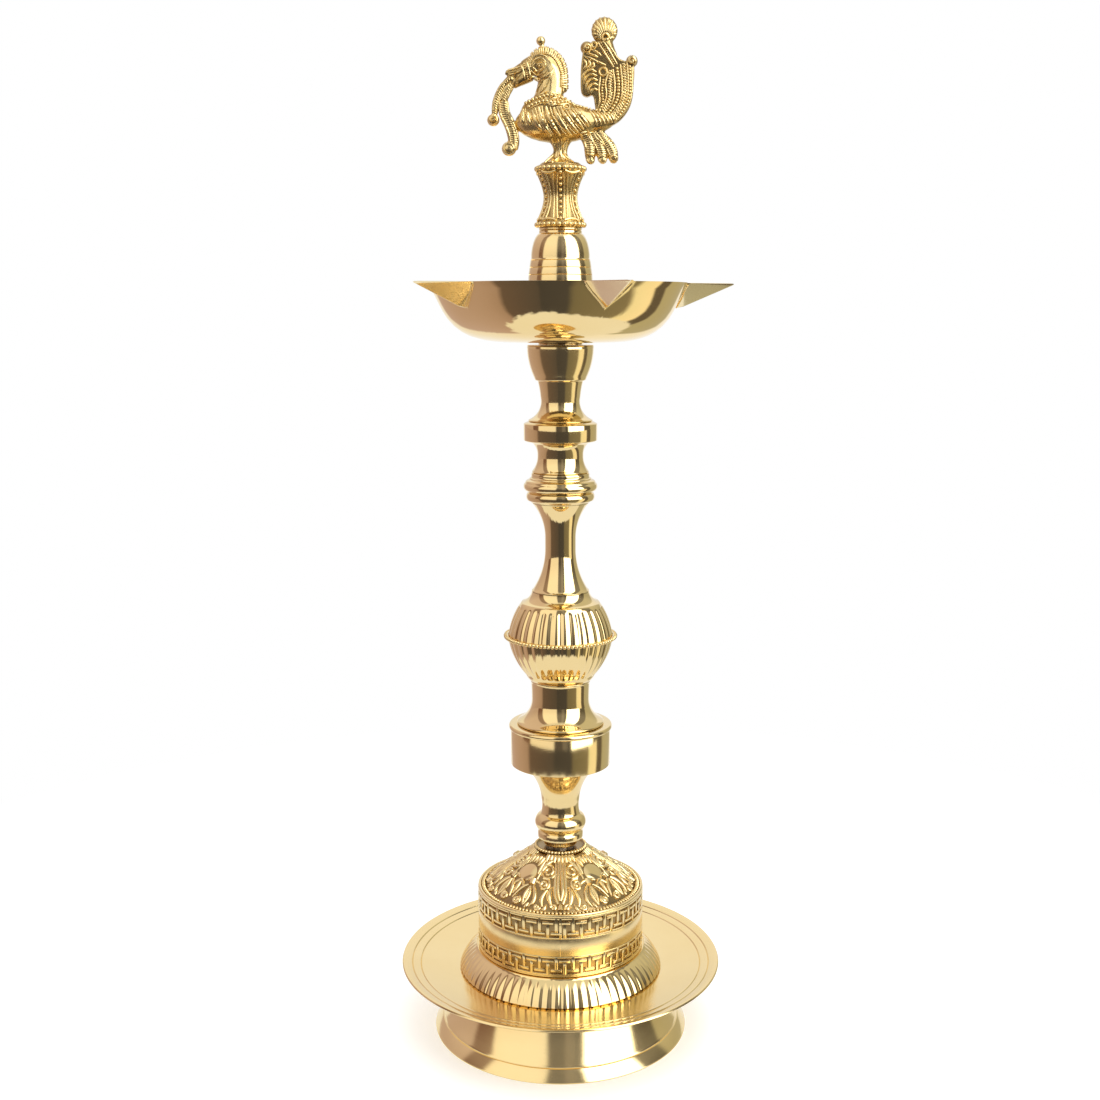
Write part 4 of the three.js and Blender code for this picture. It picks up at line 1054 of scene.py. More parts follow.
def makeFlatRing(size):
    low = lowOf("flat_ring")
    foot = low + size["neckHeight"]
    top = foot + size["ringHeight"]
    return turnPiece("flatRing", [
        [size["neckEnd"] - 0.5, low], [size["neckEnd"], low + 0.6],
        [size["neck"], low + size["neckHeight"] * 0.55, -0.9], [size["neckEnd"] - 0.4, foot - 1.2, -0.8],
        [size["neckEnd"] + 1.0, foot - 0.4], [size["ring"] - 0.6, foot], [size["ring"], foot + 0.5],
        [size["ring"], top - 1.3], [size["ring"] - 0.4, top - 0.9], [size["ring"] - 2.2, top],
        [size["bore"], top], [size["bore"], low],
    ], edge=0.1)


cupSizes = {
    "foot": 17.6, "neck": 10.9, "neckHeight": 13.2, "flare": 12.4, "stepHeight": 22.0, "step": 13.6,
    "rim": 18.1, "height": 41.1, "socket": 4.9, "socketDepth": 10.0, "bore": 6.0,
}


def makeBowlCup(size):
    low = lowOf("bowl_cup")
    step, top = low + size["stepHeight"], low + size["height"]
    return turnPiece("bowlCup", [
        [size["foot"] - 0.3, low], [size["foot"], low + 0.5], [size["foot"] - 0.6, low + 1.0],
        [size["neck"], low + size["neckHeight"], -2.5], [size["flare"], step - 0.2, -0.2],
        [size["step"], step + 0.2], [size["step"] + 0.5, step + 1.2, 0.1], [size["rim"], top - 0.9, 1.0],
        [size["rim"] - 0.2, top], [size["socket"], top], [size["socket"], top - size["socketDepth"]],
        [size["bore"], top - size["socketDepth"] - 1], [size["bore"], low],
    ], edge=0.1)


dress(makeLowerStem(lowerStemSizes), turnedBrass, "lower_stem", "polished_brass", "lower_stem")
dress(makeRingDrum(ringSizes), turnedBrass, "lower_stem", "polished_brass", "ring_drum")
dress(makeRingNeck(neckSizes), mirrorBrass, "lower_stem", "polished_brass", "ring_neck")
ballLower = makeBallShell("ballLower", "ball_lower_shell", ballSizes, False)
dress(ballLower, mirrorBrass, "ball", "polished_brass", "ball_lower_shell")
ballUpper = makeBallShell("ballUpper", "ball_upper_shell", ballSizes, True)
dress(ballUpper, mirrorBrass, "ball", "polished_brass", "ball_upper_shell")
dress(makeBallBeads(ballBeadSizes), reliefBrass, "ball", "polished_brass", "ball_bead_ring")
dress(makeMiddleStem(middleSizes), mirrorBrass, "ball", "polished_brass", "middle_stem")
dress(makeDoubleRing(doubleSizes), mirrorBrass, "upper_stem", "polished_brass", "double_ring")
dress(makeFlatRing(flatSizes), mirrorBrass, "upper_stem", "polished_brass", "flat_ring")
dress(makeBowlCup(cupSizes), turnedBrass, "upper_stem", "polished_brass", "bowl_cup")
print("stem made")


# bowl with its five spouts

bowlSizes = {
    "side": [
        (16.0, 0), (29.0, 0.35), (37.7, 1.0), (44.6, 2.5), (50.0, 4.6), (54.6, 7.7), (58.0, 11.0),
        (60.6, 14.6), (63.0, 19.0), (65.4, 24.0), (67.7, 28.6), (69.3, 31.6),
    ],
    "height": 31.6, "floor": 16.0, "hip": 53.3, "wall": 1.6, "lobe": 0.025, "bore": 4.6,
    "wallSteps": 16,
}
spoutSizes = {
    "count": 5, "turn": 21.0, "root": 65.3, "reach": 94.0, "half": 14.5, "tipHalf": 0.8, "depth": 13.0,
    "tipDepth": 0.8, "ridge": 0.42, "ridgeGap": 1.5, "steps": 12, "nearSteps": 13, "farSteps": 14,
    "crowding": 1.35, "insetReach": 3.0, "insetDepth": 1.4, "insetTip": 0.4,
}


def makeProfile(size, inset):
    # the bowl's outer wall, or its inner wall when it is inset by the thickness
    low = lowOf("oil_bowl")
    line = throughPoints(size["side"], 1.6)
    moved = []
    for index, point in enumerate(line):
        ahead = (line[min(index + 1, len(line) - 1)] - line[max(index - 1, 0)]).normalized()
        moved.append(Vector((point.x - ahead.y * inset, low + point.y + ahead.x * inset)))
    moved[-1].y = low + size["height"]
    moved[0].x = size["floor"]
    return [Vector((size["bore"], low + inset)), moved[0]], moved[1:]


def lobeAt(turn, radius, size):
    # the bowl is drawn in a little beside each spout
    reach = min(1, max(0, (radius - size["floor"]) / (size["hip"] - size["floor"])))
    return 1 - size["lobe"] * reach * math.cos(spoutSizes["count"] * turn)


def spoutEdge(turn, size, inset):
    # how far the spout's edge lies from the axis along this direction, counted from the spout's own line
    half = size["half"] - inset
    reach = size["reach"] - size["insetReach"] * inset
    tip = size["tipHalf"] * (size["insetTip"] if inset else 1)
    fall = (half - tip) / (reach - size["root"])
    turn = abs(turn)
    return min(
        (half + fall * size["root"]) / (math.sin(turn) + fall * math.cos(turn)), reach / math.cos(turn)
    )


def spoutHeight(radius, turn, size, inset, top):
    # the height of the spout's V at a place, shallower towards the tip
    along, across = radius * math.cos(turn), abs(radius * math.sin(turn))
    reach = size["reach"] - size["insetReach"] * inset
    half = size["half"] - inset
    depth = size["depth"] - size["insetDepth"] * inset
    if along > size["root"]:
        share = (along - size["root"]) / (reach - size["root"])
        tip = size["insetTip"] if inset else 1
        half += (size["tipHalf"] * tip - half) * share
        depth += (size["tipDepth"] * tip - depth) * share
    return top - depth * max(0, 1 - across / max(half, 0.01))


def findMeeting(turn, wall, bowl, spout, inset, top):
    # the share of the wall at which it runs into the spout
    def gap(share):
        place = share * (len(wall) - 1)
        before = min(int(place), len(wall) - 2)
        point = wall[before].lerp(wall[before + 1], place - before)
        radius = point.x * lobeAt(turn, point.x, bowl)
        return point.y - spoutHeight(radius, turn, spout, inset, top), radius, point.y
    low, high = 0.0, 1.0
    for step in range(30):
        middle = (low + high) / 2
        if gap(middle)[0] > 0:
            high = middle
        else:
            low = middle
    return high, gap(high)


def findCorner(wall, bowl, spout, inset):
    # the direction in which the spout's edge leaves the bowl's rim
    low, high = 0.0, math.pi / spout["count"]
    for step in range(40):
        middle = (low + high) / 2
        if spoutEdge(middle, spout, inset) > wall[-1].x * lobeAt(middle, wall[-1].x, bowl):
            low = middle
        else:
            high = middle
    return low


def spreadDirections(corner, spout):
    # the directions of one spout and of the wall on both sides of it, closest together at the spout's line
    near, far = spout["nearSteps"], spout["farSteps"]
    turns = [corner * (step / near) ** spout["crowding"] for step in range(near)] + [corner]
    turns += [corner + (math.pi / spout["count"] - corner) * step / far for step in range(1, far + 1)]
    return [-turn for turn in reversed(turns[1:-1])] + turns


def joinColumns(shape, columns):
    # faces between each column of corners and the next one, round the bowl
    for index, column in enumerate(columns):
        following = columns[(index + 1) % len(columns)]
        for step in range(len(column) - 1):
            corners = []
            for vert in (column[step], following[step], following[step + 1], column[step + 1]):
                if vert not in corners:
                    corners.append(vert)
            if len(corners) > 2:
                shape.faces.new(corners)


def makeBowlSkin(shape, bowl, spout, inset):
    # one wall of the bowl, drawn direction by direction; returns the open edge of the rim, spout after spout
    top = lowOf("oil_bowl") + bowl["height"]
    floor, wall = makeProfile(bowl, inset)
    corner = findCorner(wall, bowl, spout, inset)
    wallSteps, spoutSteps = bowl["wallSteps"], spout["steps"]
    rim, roots, columns = [], [], []
    for index in range(spout["count"]):
        heading = math.radians(spout["turn"] - 90 + 360 / spout["count"] * index)
        for turn in spreadDirections(corner, spout):
            direction = Vector((math.cos(heading + turn), math.sin(heading + turn), 0))
            column = []
            for point in floor:
                place = direction * point.x * lobeAt(turn, point.x, bowl) + Vector((0, 0, point.y))
                column.append(shape.verts.new(place * mm))
            share, meeting = findMeeting(turn, [floor[-1]] + wall, bowl, spout, inset, top)
            inSpout = abs(turn) < corner - 1e-6
            last = share if inSpout else 1.0
            fullWall = [floor[-1]] + wall
            for step in range(1, wallSteps + 1):
                place = last * step / wallSteps * (len(fullWall) - 1)
                before = min(int(place), len(fullWall) - 2)
                point = fullWall[before].lerp(fullWall[before + 1], place - before)
                radius = point.x * lobeAt(turn, point.x, bowl)
                column.append(shape.verts.new((direction * radius + Vector((0, 0, point.y))) * mm))
            if inSpout:
                roots.append((index, turn, meeting[1], meeting[2]))
                edge = spoutEdge(turn, spout, inset)
            for step in range(1, spoutSteps + 1):
                if inSpout:
                    radius = meeting[1] + (edge - meeting[1]) * step / spoutSteps
                    height = spoutHeight(radius, turn, spout, inset, top)
                    column.append(shape.verts.new((direction * radius + Vector((0, 0, height))) * mm))
                else:
                    column.append(column[-1])
            columns.append(column)
            rim.append(column[-1])
    joinColumns(shape, columns)
    return rim, [column[0] for column in columns], roots


def makeBowl(bowl, spout):
    shape = bmesh.new()
    outerRim, outerBore, roots = makeBowlSkin(shape, bowl, spout, 0)
    innerRim, innerBore = makeBowlSkin(shape, bowl, spout, bowl["wall"])[:2]
    for outside, inside in ((outerRim, innerRim), (outerBore, innerBore)):
        for index in range(len(outside)):
            following = (index + 1) % len(outside)
            shape.faces.new((outside[index], outside[following], inside[following], inside[index]))
    bmesh.ops.remove_doubles(shape, verts=shape.verts, dist=0.002 * mm)
    bmesh.ops.recalc_face_normals(shape, faces=shape.faces)
    mesh = bpy.data.meshes.new("oilBowl")
    shape.to_mesh(mesh)
    shape.free()
    piece = bpy.data.objects.new("oilBowl", mesh)
    bpy.context.collection.objects.link(piece)
    softenEdges(piece, 0.2, 2, 38)
    return piece, roots


def makeSpoutRidges(roots, bowl, spout):
    # the pair of raised lines along the fold where a spout leaves the bowl
    top = lowOf("oil_bowl") + bowl["height"]
    strokes = []
    for index in range(spout["count"]):
        heading = math.radians(spout["turn"] - 90 + 360 / spout["count"] * index)
        line = [(turn, radius, height) for place, turn, radius, height in roots if place == index]
        for lift in (0, spout["ridgeGap"]):
            stroke = []
            for turn, radius, height in line:
                across = radius + lift * (1.0 if abs(turn) < 0.12 else 0.7)
                level = spoutHeight(across, turn, spout, 0, top) if lift else height
                place = (across * math.cos(heading + turn), across * math.sin(heading + turn), level - 0.05)
                stroke.append((place, spout["ridge"]))
            strokes.append(stroke)
    return makeStrokes("spoutRidges", strokes, 2, 2)


def paintSpoutSheen(piece, roots, spout, material):
    # the spouts' own faces, outside the fold, are a little duller and painted paler, a painted reflection of
    # bright surroundings
    piece.data.materials.append(material)
    folds = [(turn, radius) for place, turn, radius, height in roots if place == 0]
    widest = max(turn for turn, radius in folds)
    pitch = 360 / spout["count"]
    for face in piece.data.polygons:
        heading = math.degrees(math.atan2(face.center.y, face.center.x)) + 90 - spout["turn"]
        turn = math.radians((heading + pitch / 2) % pitch - pitch / 2)
        fold = min(folds, key=lambda place: abs(place[0] - turn))
        if abs(turn) < widest and math.hypot(face.center.x, face.center.y) / mm > fold[1] + 0.1:
            face.material_index = len(piece.data.materials) - 1


bowlPiece, bowlRoots = makeBowl(bowlSizes, spoutSizes)
bowl = dress(bowlPiece, mirrorBrass, "bowl", "polished_brass", "oil_bowl")
paintSpoutSheen(bowl, bowlRoots, spoutSizes, spoutSheenBrass)
dress(makeSpoutRidges(bowlRoots, bowlSizes, spoutSizes), mirrorBrass, "bowl", "polished_brass")
bowlRing = makeRing("bowlRing", "bowl_washer", outer=11.9, inner=4.9)
dress(bowlRing, turnedBrass, "bowl", "polished_brass", "bowl_washer")
print("bowl made")


# cap and pedestal

capSizes = {
    "side": 18.6, "height": 57.4, "grooves": (34.2, 38.0, 41.8), "grooveWidth": 0.22, "grooveDepth": 0.28,
    "taper": 0.5, "rimLevel": 30.5, "rimSide": 17.3,
    "shoulder": [(15.7, 12.6), (15.3, 9.4), (14.5, 6.2), (13.4, 3.6), (12.2, 1.9)], "neck": 11.5,
    "bore": 4.0, "boreDepth": 16.0, "hollow": 9.0, "seat": 12.6, "seatDepth": 3.5,
}


def makeCap(size):
    low = lowOf("dome_cap")
    top = low + size["height"]
    corners = [
        [size["side"] - 0.5, low], [size["side"], low + 0.6], [size["rimSide"], low + size["rimLevel"]],
    ]
    side, half = size["rimSide"] - 0.15, size["grooveWidth"]
    for level in size["grooves"]:
        corners += [
            [side, low + level - half], [side - size["grooveDepth"], low + level],
            [side - 0.03, low + level + half],
        ]
        side -= size["taper"]
    drops = [(radius, top - drop) for radius, drop in size["shoulder"]]
    shoulder = throughPoints([(side, low + size["grooves"][-1] + half), *drops], 0.7)
    corners += [[point.x, point.y] for point in shoulder[1:]]
    corners += [
        [size["neck"], top - 1.2, -0.15], [size["neck"], top - 0.3], [size["neck"] - 0.3, top],
        [size["bore"], top], [size["bore"], top - size["boreDepth"]],
        [size["hollow"], top - size["boreDepth"] - 3], [size["hollow"], low + 12],
        [size["hollow"], low + size["seatDepth"] + 0.5], [size["seat"], low + size["seatDepth"]],
        [size["seat"], low],
    ]
    return turnPiece("domeCap", corners, edge=0.1, arcSteps=26)


pedestalSizes = {
    "rim": 13.0, "rimHeight": 2.8, "waist": 8.3, "waistHeight": 15.4, "topHeight": 3.4, "height": 32.0,
    "hollow": 1.7, "sideSteps": 16, "rimBeads": 27, "bead": 1.4, "strings": 6, "stringBead": 1.0,
    "stringPitch": 2.94, "stringCount": 9, "stringFoot": 4.2, "ridge": 0.6,
    "ridgeTurns": [(7, 12), (17, 23)], "ridgeSteps": 8, "ridgeFoot": 4.0, "ridgeSpan": 23.8,
    "arches": [(27.6, -1.0), (4.2, 1.0)], "archTurn": 20.0, "archSteps": 6, "stud": 3.1, "core": 0.4,
}


def pedestalRadius(height, size):
    # the waisted side as two shallow hollow curves
    low, top = size["rimHeight"], size["height"] - size["topHeight"]
    if height < size["waistHeight"]:
        share = (size["waistHeight"] - height) / (size["waistHeight"] - low)
    else:
        share = (height - size["waistHeight"]) / (top - size["waistHeight"])
    return size["waist"] + (size["rim"] - 0.4 - size["waist"]) * min(1, max(0, share)) ** size["hollow"]


def makePedestalBody(size, low):
    top = low + size["height"]
    span = size["height"] - size["topHeight"] - size["rimHeight"]
    levels = [size["rimHeight"] + span * step / size["sideSteps"] for step in range(size["sideSteps"] + 1)]
    side = [[pedestalRadius(level, size), low + level] for level in levels]
    stud, core = size["stud"], size["core"]
    foot = [[stud, low], [size["rim"] - 0.6, low], [size["rim"], low + 0.7], [size["rim"], low + 2.3]]
    head = [[size["rim"], top - 2.6], [size["rim"], top - 0.8], [size["rim"] - 0.7, top], [core, top],
            [core, low + 1], [stud, low + 1]]
    return turnPiece("pedestalBody", foot + side + head, steps=96, edge=0.2)


def pedestalPlace(turn, level, size, low, lift):
    # a place on the waisted side, by direction and by height above the pedestal's foot
    radius = pedestalRadius(level, size) + lift
    return (radius * math.cos(turn), radius * math.sin(turn), low + level)


def makePedestalRidges(size, low):
    # one of the six panels: two upright lines on each side of it and an arch at each end
    middle = math.pi / size["strings"] - math.pi / 2
    strokes = []
    for side in (-1, 1):
        for inner, outer in size["ridgeTurns"]:
            line = []
            for step in range(size["ridgeSteps"] + 1):
                level = size["ridgeFoot"] + size["ridgeSpan"] * step / size["ridgeSteps"]
                ends = abs(2 * step / size["ridgeSteps"] - 1)
                turn = middle + math.radians(side * (inner + (outer - inner) * ends ** 2))
                line.append((pedestalPlace(turn, level, size, low, 0.05), size["ridge"]))
            strokes.append(line)
    for level, drop in size["arches"]:
        line = []
        for step in range(size["archSteps"] + 1):
            away = 2 * step / size["archSteps"] - 1
            turn = middle + math.radians(size["archTurn"] * away)
            line.append((pedestalPlace(turn, level - drop * away ** 2, size, low, 0.1), size["ridge"] * 1.4))
        strokes.append(line)
    return repeatRound(makeStrokes("pedestalRidges", strokes, 2, 3), size["strings"])


def makePedestalRelief(size, low):
    # a ring of beads on each rim, six strings of beads down the waist and the ridges between them
    top = low + size["height"]
    rims = []
    for level in (low + 1.4, top - 1.7):
        bead = makeBeads("rimBead", [((size["rim"] - 0.35, 0, level), size["bead"])], 10, 7)
        rims.append(repeatRound(bead, size["rimBeads"]))
    places = []
    for index in range(size["stringCount"]):
        level = size["stringFoot"] + index * size["stringPitch"]
        places.append((pedestalPlace(-math.pi / 2, level, size, low, 0.1), size["stringBead"]))
    string = repeatRound(makeBeads("stringBead", places), size["strings"])
    return joinPieces("pedestalRelief", [*rims, string, makePedestalRidges(size, low)])


finialStudSizes = {"radius": 3.2, "pitch": 1.25, "groove": 0.45, "core": 0.4}


def makeFinialStud(size, top):
    # the threaded stud under the pedestal, one turn of thread repeated upwards
    low = lowOf("finial_pedestal")
    radius, pitch = size["radius"], size["pitch"]
    core = radius - size["groove"]
    corners = [[radius - 0.8, low], [radius - 0.5, low + 0.3]]
    level = low + 0.6
    while level + pitch < top:
        corners += [[core, level], [radius, level + pitch / 2], [core, level + pitch * 0.98]]
        level += pitch
    corners += [[core, top], [size["core"], top], [size["core"], low]]
    return turnPiece("finialStud", corners, steps=40, edge=0.05)


dress(makeCap(capSizes), turnedBrass, "cap", "polished_brass", "dome_cap")
finialRing = makeRing("finialRing", "finial_washer", outer=11.4, inner=3.6)
dress(finialRing, turnedBrass, "finial_seat", "cast_brass", "finial_washer")
pedestalTop = lowOf("peacock")
pedestalLow = pedestalTop - pedestalSizes["height"] - 0.15
# the pedestal's body is painted dark as the shade between its bright beads and ridges
dress(makePedestalBody(pedestalSizes, pedestalLow), castHollowShade, "finial", "cast_brass", "finial_pedestal")
dress(makePedestalRelief(pedestalSizes, pedestalLow), castBrass, "finial", "cast_brass")
finialStud = makeFinialStud(finialStudSizes, pedestalTop - pedestalSizes["height"])
dress(finialStud, castBrass, "finial", "cast_brass")
print("cap and pedestal made")


# peacock: drawn in its own plane, in millimetres beside the axis and above the pedestal

birdLow = lowOf("peacock")
birdFlat = {"body": 0.8, "neck": 0.72, "beak": 0.85, "strand": 1.05, "innerStrand": 0.72, "tail": 1.1,
            "leg": 0.9, "foot": 0.65}


def flatten(piece, share):
    pickOnly(piece)
    bpy.ops.object.mode_set(mode="EDIT")
    bpy.ops.mesh.select_all(action="SELECT")
    bpy.ops.transform.resize(value=(1, share, 1), center_override=(0, 0, 0))
    bpy.ops.object.mode_set(mode="OBJECT")
    return piece


def castTube(places, radii, flat=1.0):
    # a round limb through the places, flattened across the bird
    stroke = [((x, 0, birdLow + z), radius) for (x, z), radius in zip(places, radii)]
    return flatten(makeStrokes("limb", [stroke], 4, 4), flat)


def castBlob(x, z, size):
    clearSelection()
    bpy.ops.mesh.primitive_uv_sphere_add(
        segments=24, ring_count=14, radius=1, location=(x * mm, 0, (birdLow + z) * mm)
    )
    blob = bpy.context.object
    blob.scale = Vector(size) * mm
    bpy.ops.object.transform_apply(location=True, rotation=True, scale=True)
    return blob


def castPlate(name, places, depth, pitch=1.0):
    # a flat cut-out of smooth outline, given its thickness by extrusion
    points = throughPoints(places, pitch, closed=True)
    piece = traceOutline(name, [(point.x, birdLow + point.y) for point in points])
    bpy.ops.mesh.select_all(action="SELECT")
    bpy.ops.mesh.edge_face_add()
    bpy.ops.transform.translate(value=(0, -depth / 2 * mm, 0))
    bpy.ops.mesh.extrude_region_move(TRANSFORM_OT_translate={"value": (0, depth * mm, 0)})
    bpy.ops.mesh.select_all(action="SELECT")
    bpy.ops.mesh.normals_make_consistent(inside=False)
    bpy.ops.object.mode_set(mode="OBJECT")
    return piece


tailOutline = [
    (24, 19.6), (31.5, 23), (37, 31), (38.4, 42), (38, 51), (31, 54), (26.5, 60), (23, 62.4), (17, 62.4),
    (12.5, 59), (11.2, 54), (10.6, 46), (11, 37), (14, 34.8), (17, 35.6), (18.2, 30), (19, 23),
]
# each toe of the tail's foot: where it leaves the rump and where it ends
tailToes = [(11.6, 15.8), (15.4, 22.2), (19.0, 28.2)]
birdSizes = {"voxel": 0.42, "smoothing": 3, "maneDepth": 3.0, "fanDepth": 5.0}


def makeTrunk(flat):
    stalk = flatten(turnPiece("birdStalk", [
        [0.3, birdLow], [11.5, birdLow], [9.7, birdLow + 1.6], [3.6, birdLow + 6.5, -1.6],
        [7.5, birdLow + 13.5, -1.0], [0.3, birdLow + 13.5]], steps=48, edge=0.2), flat["foot"])
    body = castBlob(-1.5, 22, (22.5, 9.0, 10.5))
    rump = castTube(
        [(6, 22.5), (12, 22.2), (18, 22), (25, 23), (29, 27)], [8.6, 7.4, 6.0, 4.6, 3.0], flat["body"]
    )
    return [stalk, body, rump]


def makeHeadForm(flat, size):
    neck = castTube([(-8, 25), (-6.4, 33), (-5.0, 40), (-5.2, 46), (-8.4, 51.6), (-13.4, 51.6), (-18.5, 49)],
                    [9.0, 7.9, 7.0, 6.8, 6.9, 5.4, 4.6], flat["neck"])
    beak = castTube([(-16, 50), (-20, 48.8), (-24, 47.6), (-27.4, 47.0), (-28.8, 47.5)],
                    [4.6, 3.7, 2.3, 1.5, 1.2], flat["beak"])
    grip = castBlob(-26.3, 44.0, (2.3, 1.9, 2.0))
    jaw = castTube([(-16, 46.6), (-20, 44.4), (-23, 42.4), (-25, 40.2)], [4.0, 3.6, 2.7, 1.7], flat["beak"])
    knob = castBlob(-10.3, 63.2, (2.4, 2.2, 2.4))
    stem = castTube([(-9, 57), (-9.6, 60), (-10, 62)], [1.9, 1.3, 1.2])
    mane = castPlate("mane", [
        (-16.2, 54.2), (-13, 58.2), (-8, 59.8), (-3, 58.4), (0.8, 55), (2.9, 49), (3.4, 43), (3.2, 37.6),
        (-2, 38), (-5, 48), (-12, 52),
    ], size["maneDepth"])
    return [neck, beak, grip, jaw, knob, stem, mane]


def makeGarland(flat):
    # the two strands that hang from the beak, each with a curl at its end
    outer = castTube([(-26.4, 44.8), (-29.0, 42.2), (-31.3, 38.6), (-33.3, 34), (-34.5, 29), (-35, 24.5)],
                     [1.5, 1.6, 1.6, 1.6, 1.6, 1.5], flat["strand"])
    inner = castTube([
        (-24.2, 43), (-26.6, 40), (-28.8, 36), (-29.9, 32.3), (-29.4, 27), (-27.0, 21.7), (-25.2, 16.4),
        (-24.4, 12.0), (-25.4, 8.6),
    ], [1.5, 1.6, 1.7, 2.2, 2.8, 3.1, 3.1, 3.1, 3.0], flat["innerStrand"])
    outerCurl = castBlob(-35.4, 23.2, (3.3, 2.4, 3.2))
    innerCurl = castBlob(-27.2, 8.6, (3.9, 2.6, 3.8))
    return [outer, inner, outerCurl, innerCurl]


def makeToes(flat):
    legs = []
    for rootX, endX in tailToes:
        places = [(rootX, 19), (rootX + 1.4, 15.5), ((rootX + endX) / 2 + 1.6, 11), (endX, 5), (endX, 2.2)]
        legs.append(castTube(places, [3.2, 3.1, 3.0, 3.0, 2.3], flat["leg"]))
    toes = [castBlob(x, z, (2.3, 2.5, 2.2)) for x, z in ((16.0, 2.7), (22.4, 2.9), (28.4, 3.8))]
    return legs + toes


def makeTailForm(flat, size):
    # the upright fan, three cords that sweep up behind it, the round crown on its stem and two curls
    fan = castPlate("tailFan", tailOutline, size["fanDepth"])
    sweep = [castTube(places, [1.7, 1.8, 1.7, 1.5], flat["tail"]) for places in (
        [(24, 21), (33, 28.5), (36.4, 40), (36.8, 50)],
        [(22.5, 23.5), (29, 31), (31.6, 42), (31, 52)],
        [(20.6, 26), (24.6, 33), (26, 41), (24.4, 48)])]
    crown = castBlob(23, 68.2, (6.9, 2.7, 6.9))
    crownStem = castTube([(23.2, 63), (24.6, 59), (27.6, 55)], [4.2, 3.4, 2.6], flat["leg"])
    curls = [castBlob(37.4, 53, (3.1, 3.6, 3.1)), castBlob(13.8, 59.6, (3.4, 3.6, 3.4))]
    return [fan, *sweep, crown, crownStem, *curls]


def makeBirdCore(flat, size):
    # all the bird's forms grown into one skin, as they come out of one mould
    shoulders = castBlob(-6, 27.6, (14.8, 7.6, 8.4))
    forms = [*makeTrunk(flat), *makeHeadForm(flat, size), *makeGarland(flat), shoulders, *makeToes(flat),
             *makeTailForm(flat, size)]
    core = joinPieces("birdCore", forms)
    bpy.ops.object.modifier_add(type="REMESH")
    remesh = core.modifiers[-1]
    remesh.mode = "VOXEL"
    remesh.voxel_size = size["voxel"] * mm
    bpy.ops.object.modifier_apply(modifier=remesh.name)
    bpy.ops.object.modifier_add(type="SMOOTH")
    smooth = core.modifiers[-1]
    smooth.iterations = size["smoothing"]
    smooth.factor = 0.5
    bpy.ops.object.modifier_apply(modifier=smooth.name)
    bpy.ops.object.shade_smooth()
    return core


def unshadePlainPlaces(piece, material, places):
    # the smooth parts of the bird, away from the crevices, get the bright brass in place of the painted
    # crevice shade
    piece.data.materials.append(material)
    for face in piece.data.polygons:
        x, z = face.center.x / mm, face.center.z / mm - birdLow
        if any(
            ((x - centreX) / wide) ** 2 + ((z - centreZ) / high) ** 2 < 1
            for centreX, centreZ, wide, high in places
        ):
            face.material_index = len(piece.data.materials) - 1


# each smooth part: the middle, across and up, and the half width and half height
plainPlaces = [
    (-5.2, 43.5, 5.2, 7.5), (-11.5, 51.0, 5.5, 4.0), (-6.5, 37.5, 7.0, 4.5), (0.0, 6.0, 7.5, 5.5),
    (-10.3, 62.6, 3.5, 4.0), (-16.0, 20.0, 9.0, 5.0), (-35.4, 23.2, 3.8, 3.8), (-27.2, 8.6, 4.6, 4.6),
    (22.2, 3.0, 9.0, 2.8),
]
# the whole skin is painted dark as crevice shade, then its smooth parts get the bright brass back
birdCore = dress(makeBirdCore(birdFlat, birdSizes), castHollowShade, "finial", "cast_brass", "peacock")
unshadePlainPlaces(birdCore, castBrass, plainPlaces)
print("bird's body made")


def onBird(x, z, side, lift=0.0):
    # the place on the bird's near or far side, or nothing beside its outline
    start = Vector((x * mm, -0.05 * side, (birdLow + z) * mm))
    found, place = birdCore.ray_cast(start, Vector((0, side, 0)))[:2]
    if not found:
        return None
    return Vector((place.x, place.y - side * lift * mm, place.z)) / mm


lineSizes = {"swell": 1.5}


def castLine(places, radius, lift=0.1, pitch=0.7, ends=0.45):
    # one raised line on both sides of the bird, thinner at its ends
    radius *= lineSizes["swell"]
    points = throughPoints(places, pitch)
    strokes = []
    for side in (1, -1):
        stroke = []
        last = len(points) - 1
        for index, point in enumerate(points):
            place = onBird(point.x, point.y, side, lift)
            if place is None:
                continue
            share = min(1, ends + (1 - ends) * 4 * min(index, last - index) / max(1, last))
            stroke.append((place, radius * share))
        if len(stroke) > 2:
            strokes.append(stroke)
    return strokes


def castSpiral(x, z, reach, turns, radius, start=0.0, way=1):
    places = []
    count = int(12 * turns)
    for step in range(count + 1):
        share = step / count
        angle = math.radians(start) + way * fullTurn * turns * share
        length = reach * (1 - 0.85 * share)
        places.append((x + length * math.cos(angle), z + length * math.sin(angle)))
    return castLine(places, radius, 0.15, 0.6, 0.8)


def castRing(x, z, reach, radius):
    places = [
        (x + reach * math.cos(step * fullTurn / 14), z + reach * math.sin(step * fullTurn / 14))
        for step in range(15)
    ]
    return castLine(places, radius, 0.1, 0.6, 1.0)


def evenSteps(places, pitch):
    # points one pitch apart along a smooth line, each with its direction
    points = throughPoints(places, 0.25)
    steps, travelled = [], pitch / 2
    for index in range(1, len(points)):
        span = (points[index] - points[index - 1]).length
        travelled += span
        if travelled >= pitch:
            travelled -= pitch
            steps.append((points[index], (points[index] - points[index - 1]).normalized()))
    return steps


def castRibs(places, width, pitch, radius, slant=0.5, lift=0.12):
    # short ribs side by side across a line, as on a twisted strand
    strokes = []
    for point, along in evenSteps(places, pitch):
        across = Vector((-along.y, along.x))
        ends = [point + across * width * share + along * slant * share for share in (-1, -0.5, 0, 0.5, 1)]
        for side in (1, -1):
            stroke = [(onBird(end.x, end.y, side, lift), radius) for end in ends]
            stroke = [(place, size) for place, size in stroke if place is not None]
            if len(stroke) > 2:
                strokes.append(stroke)
    return strokes


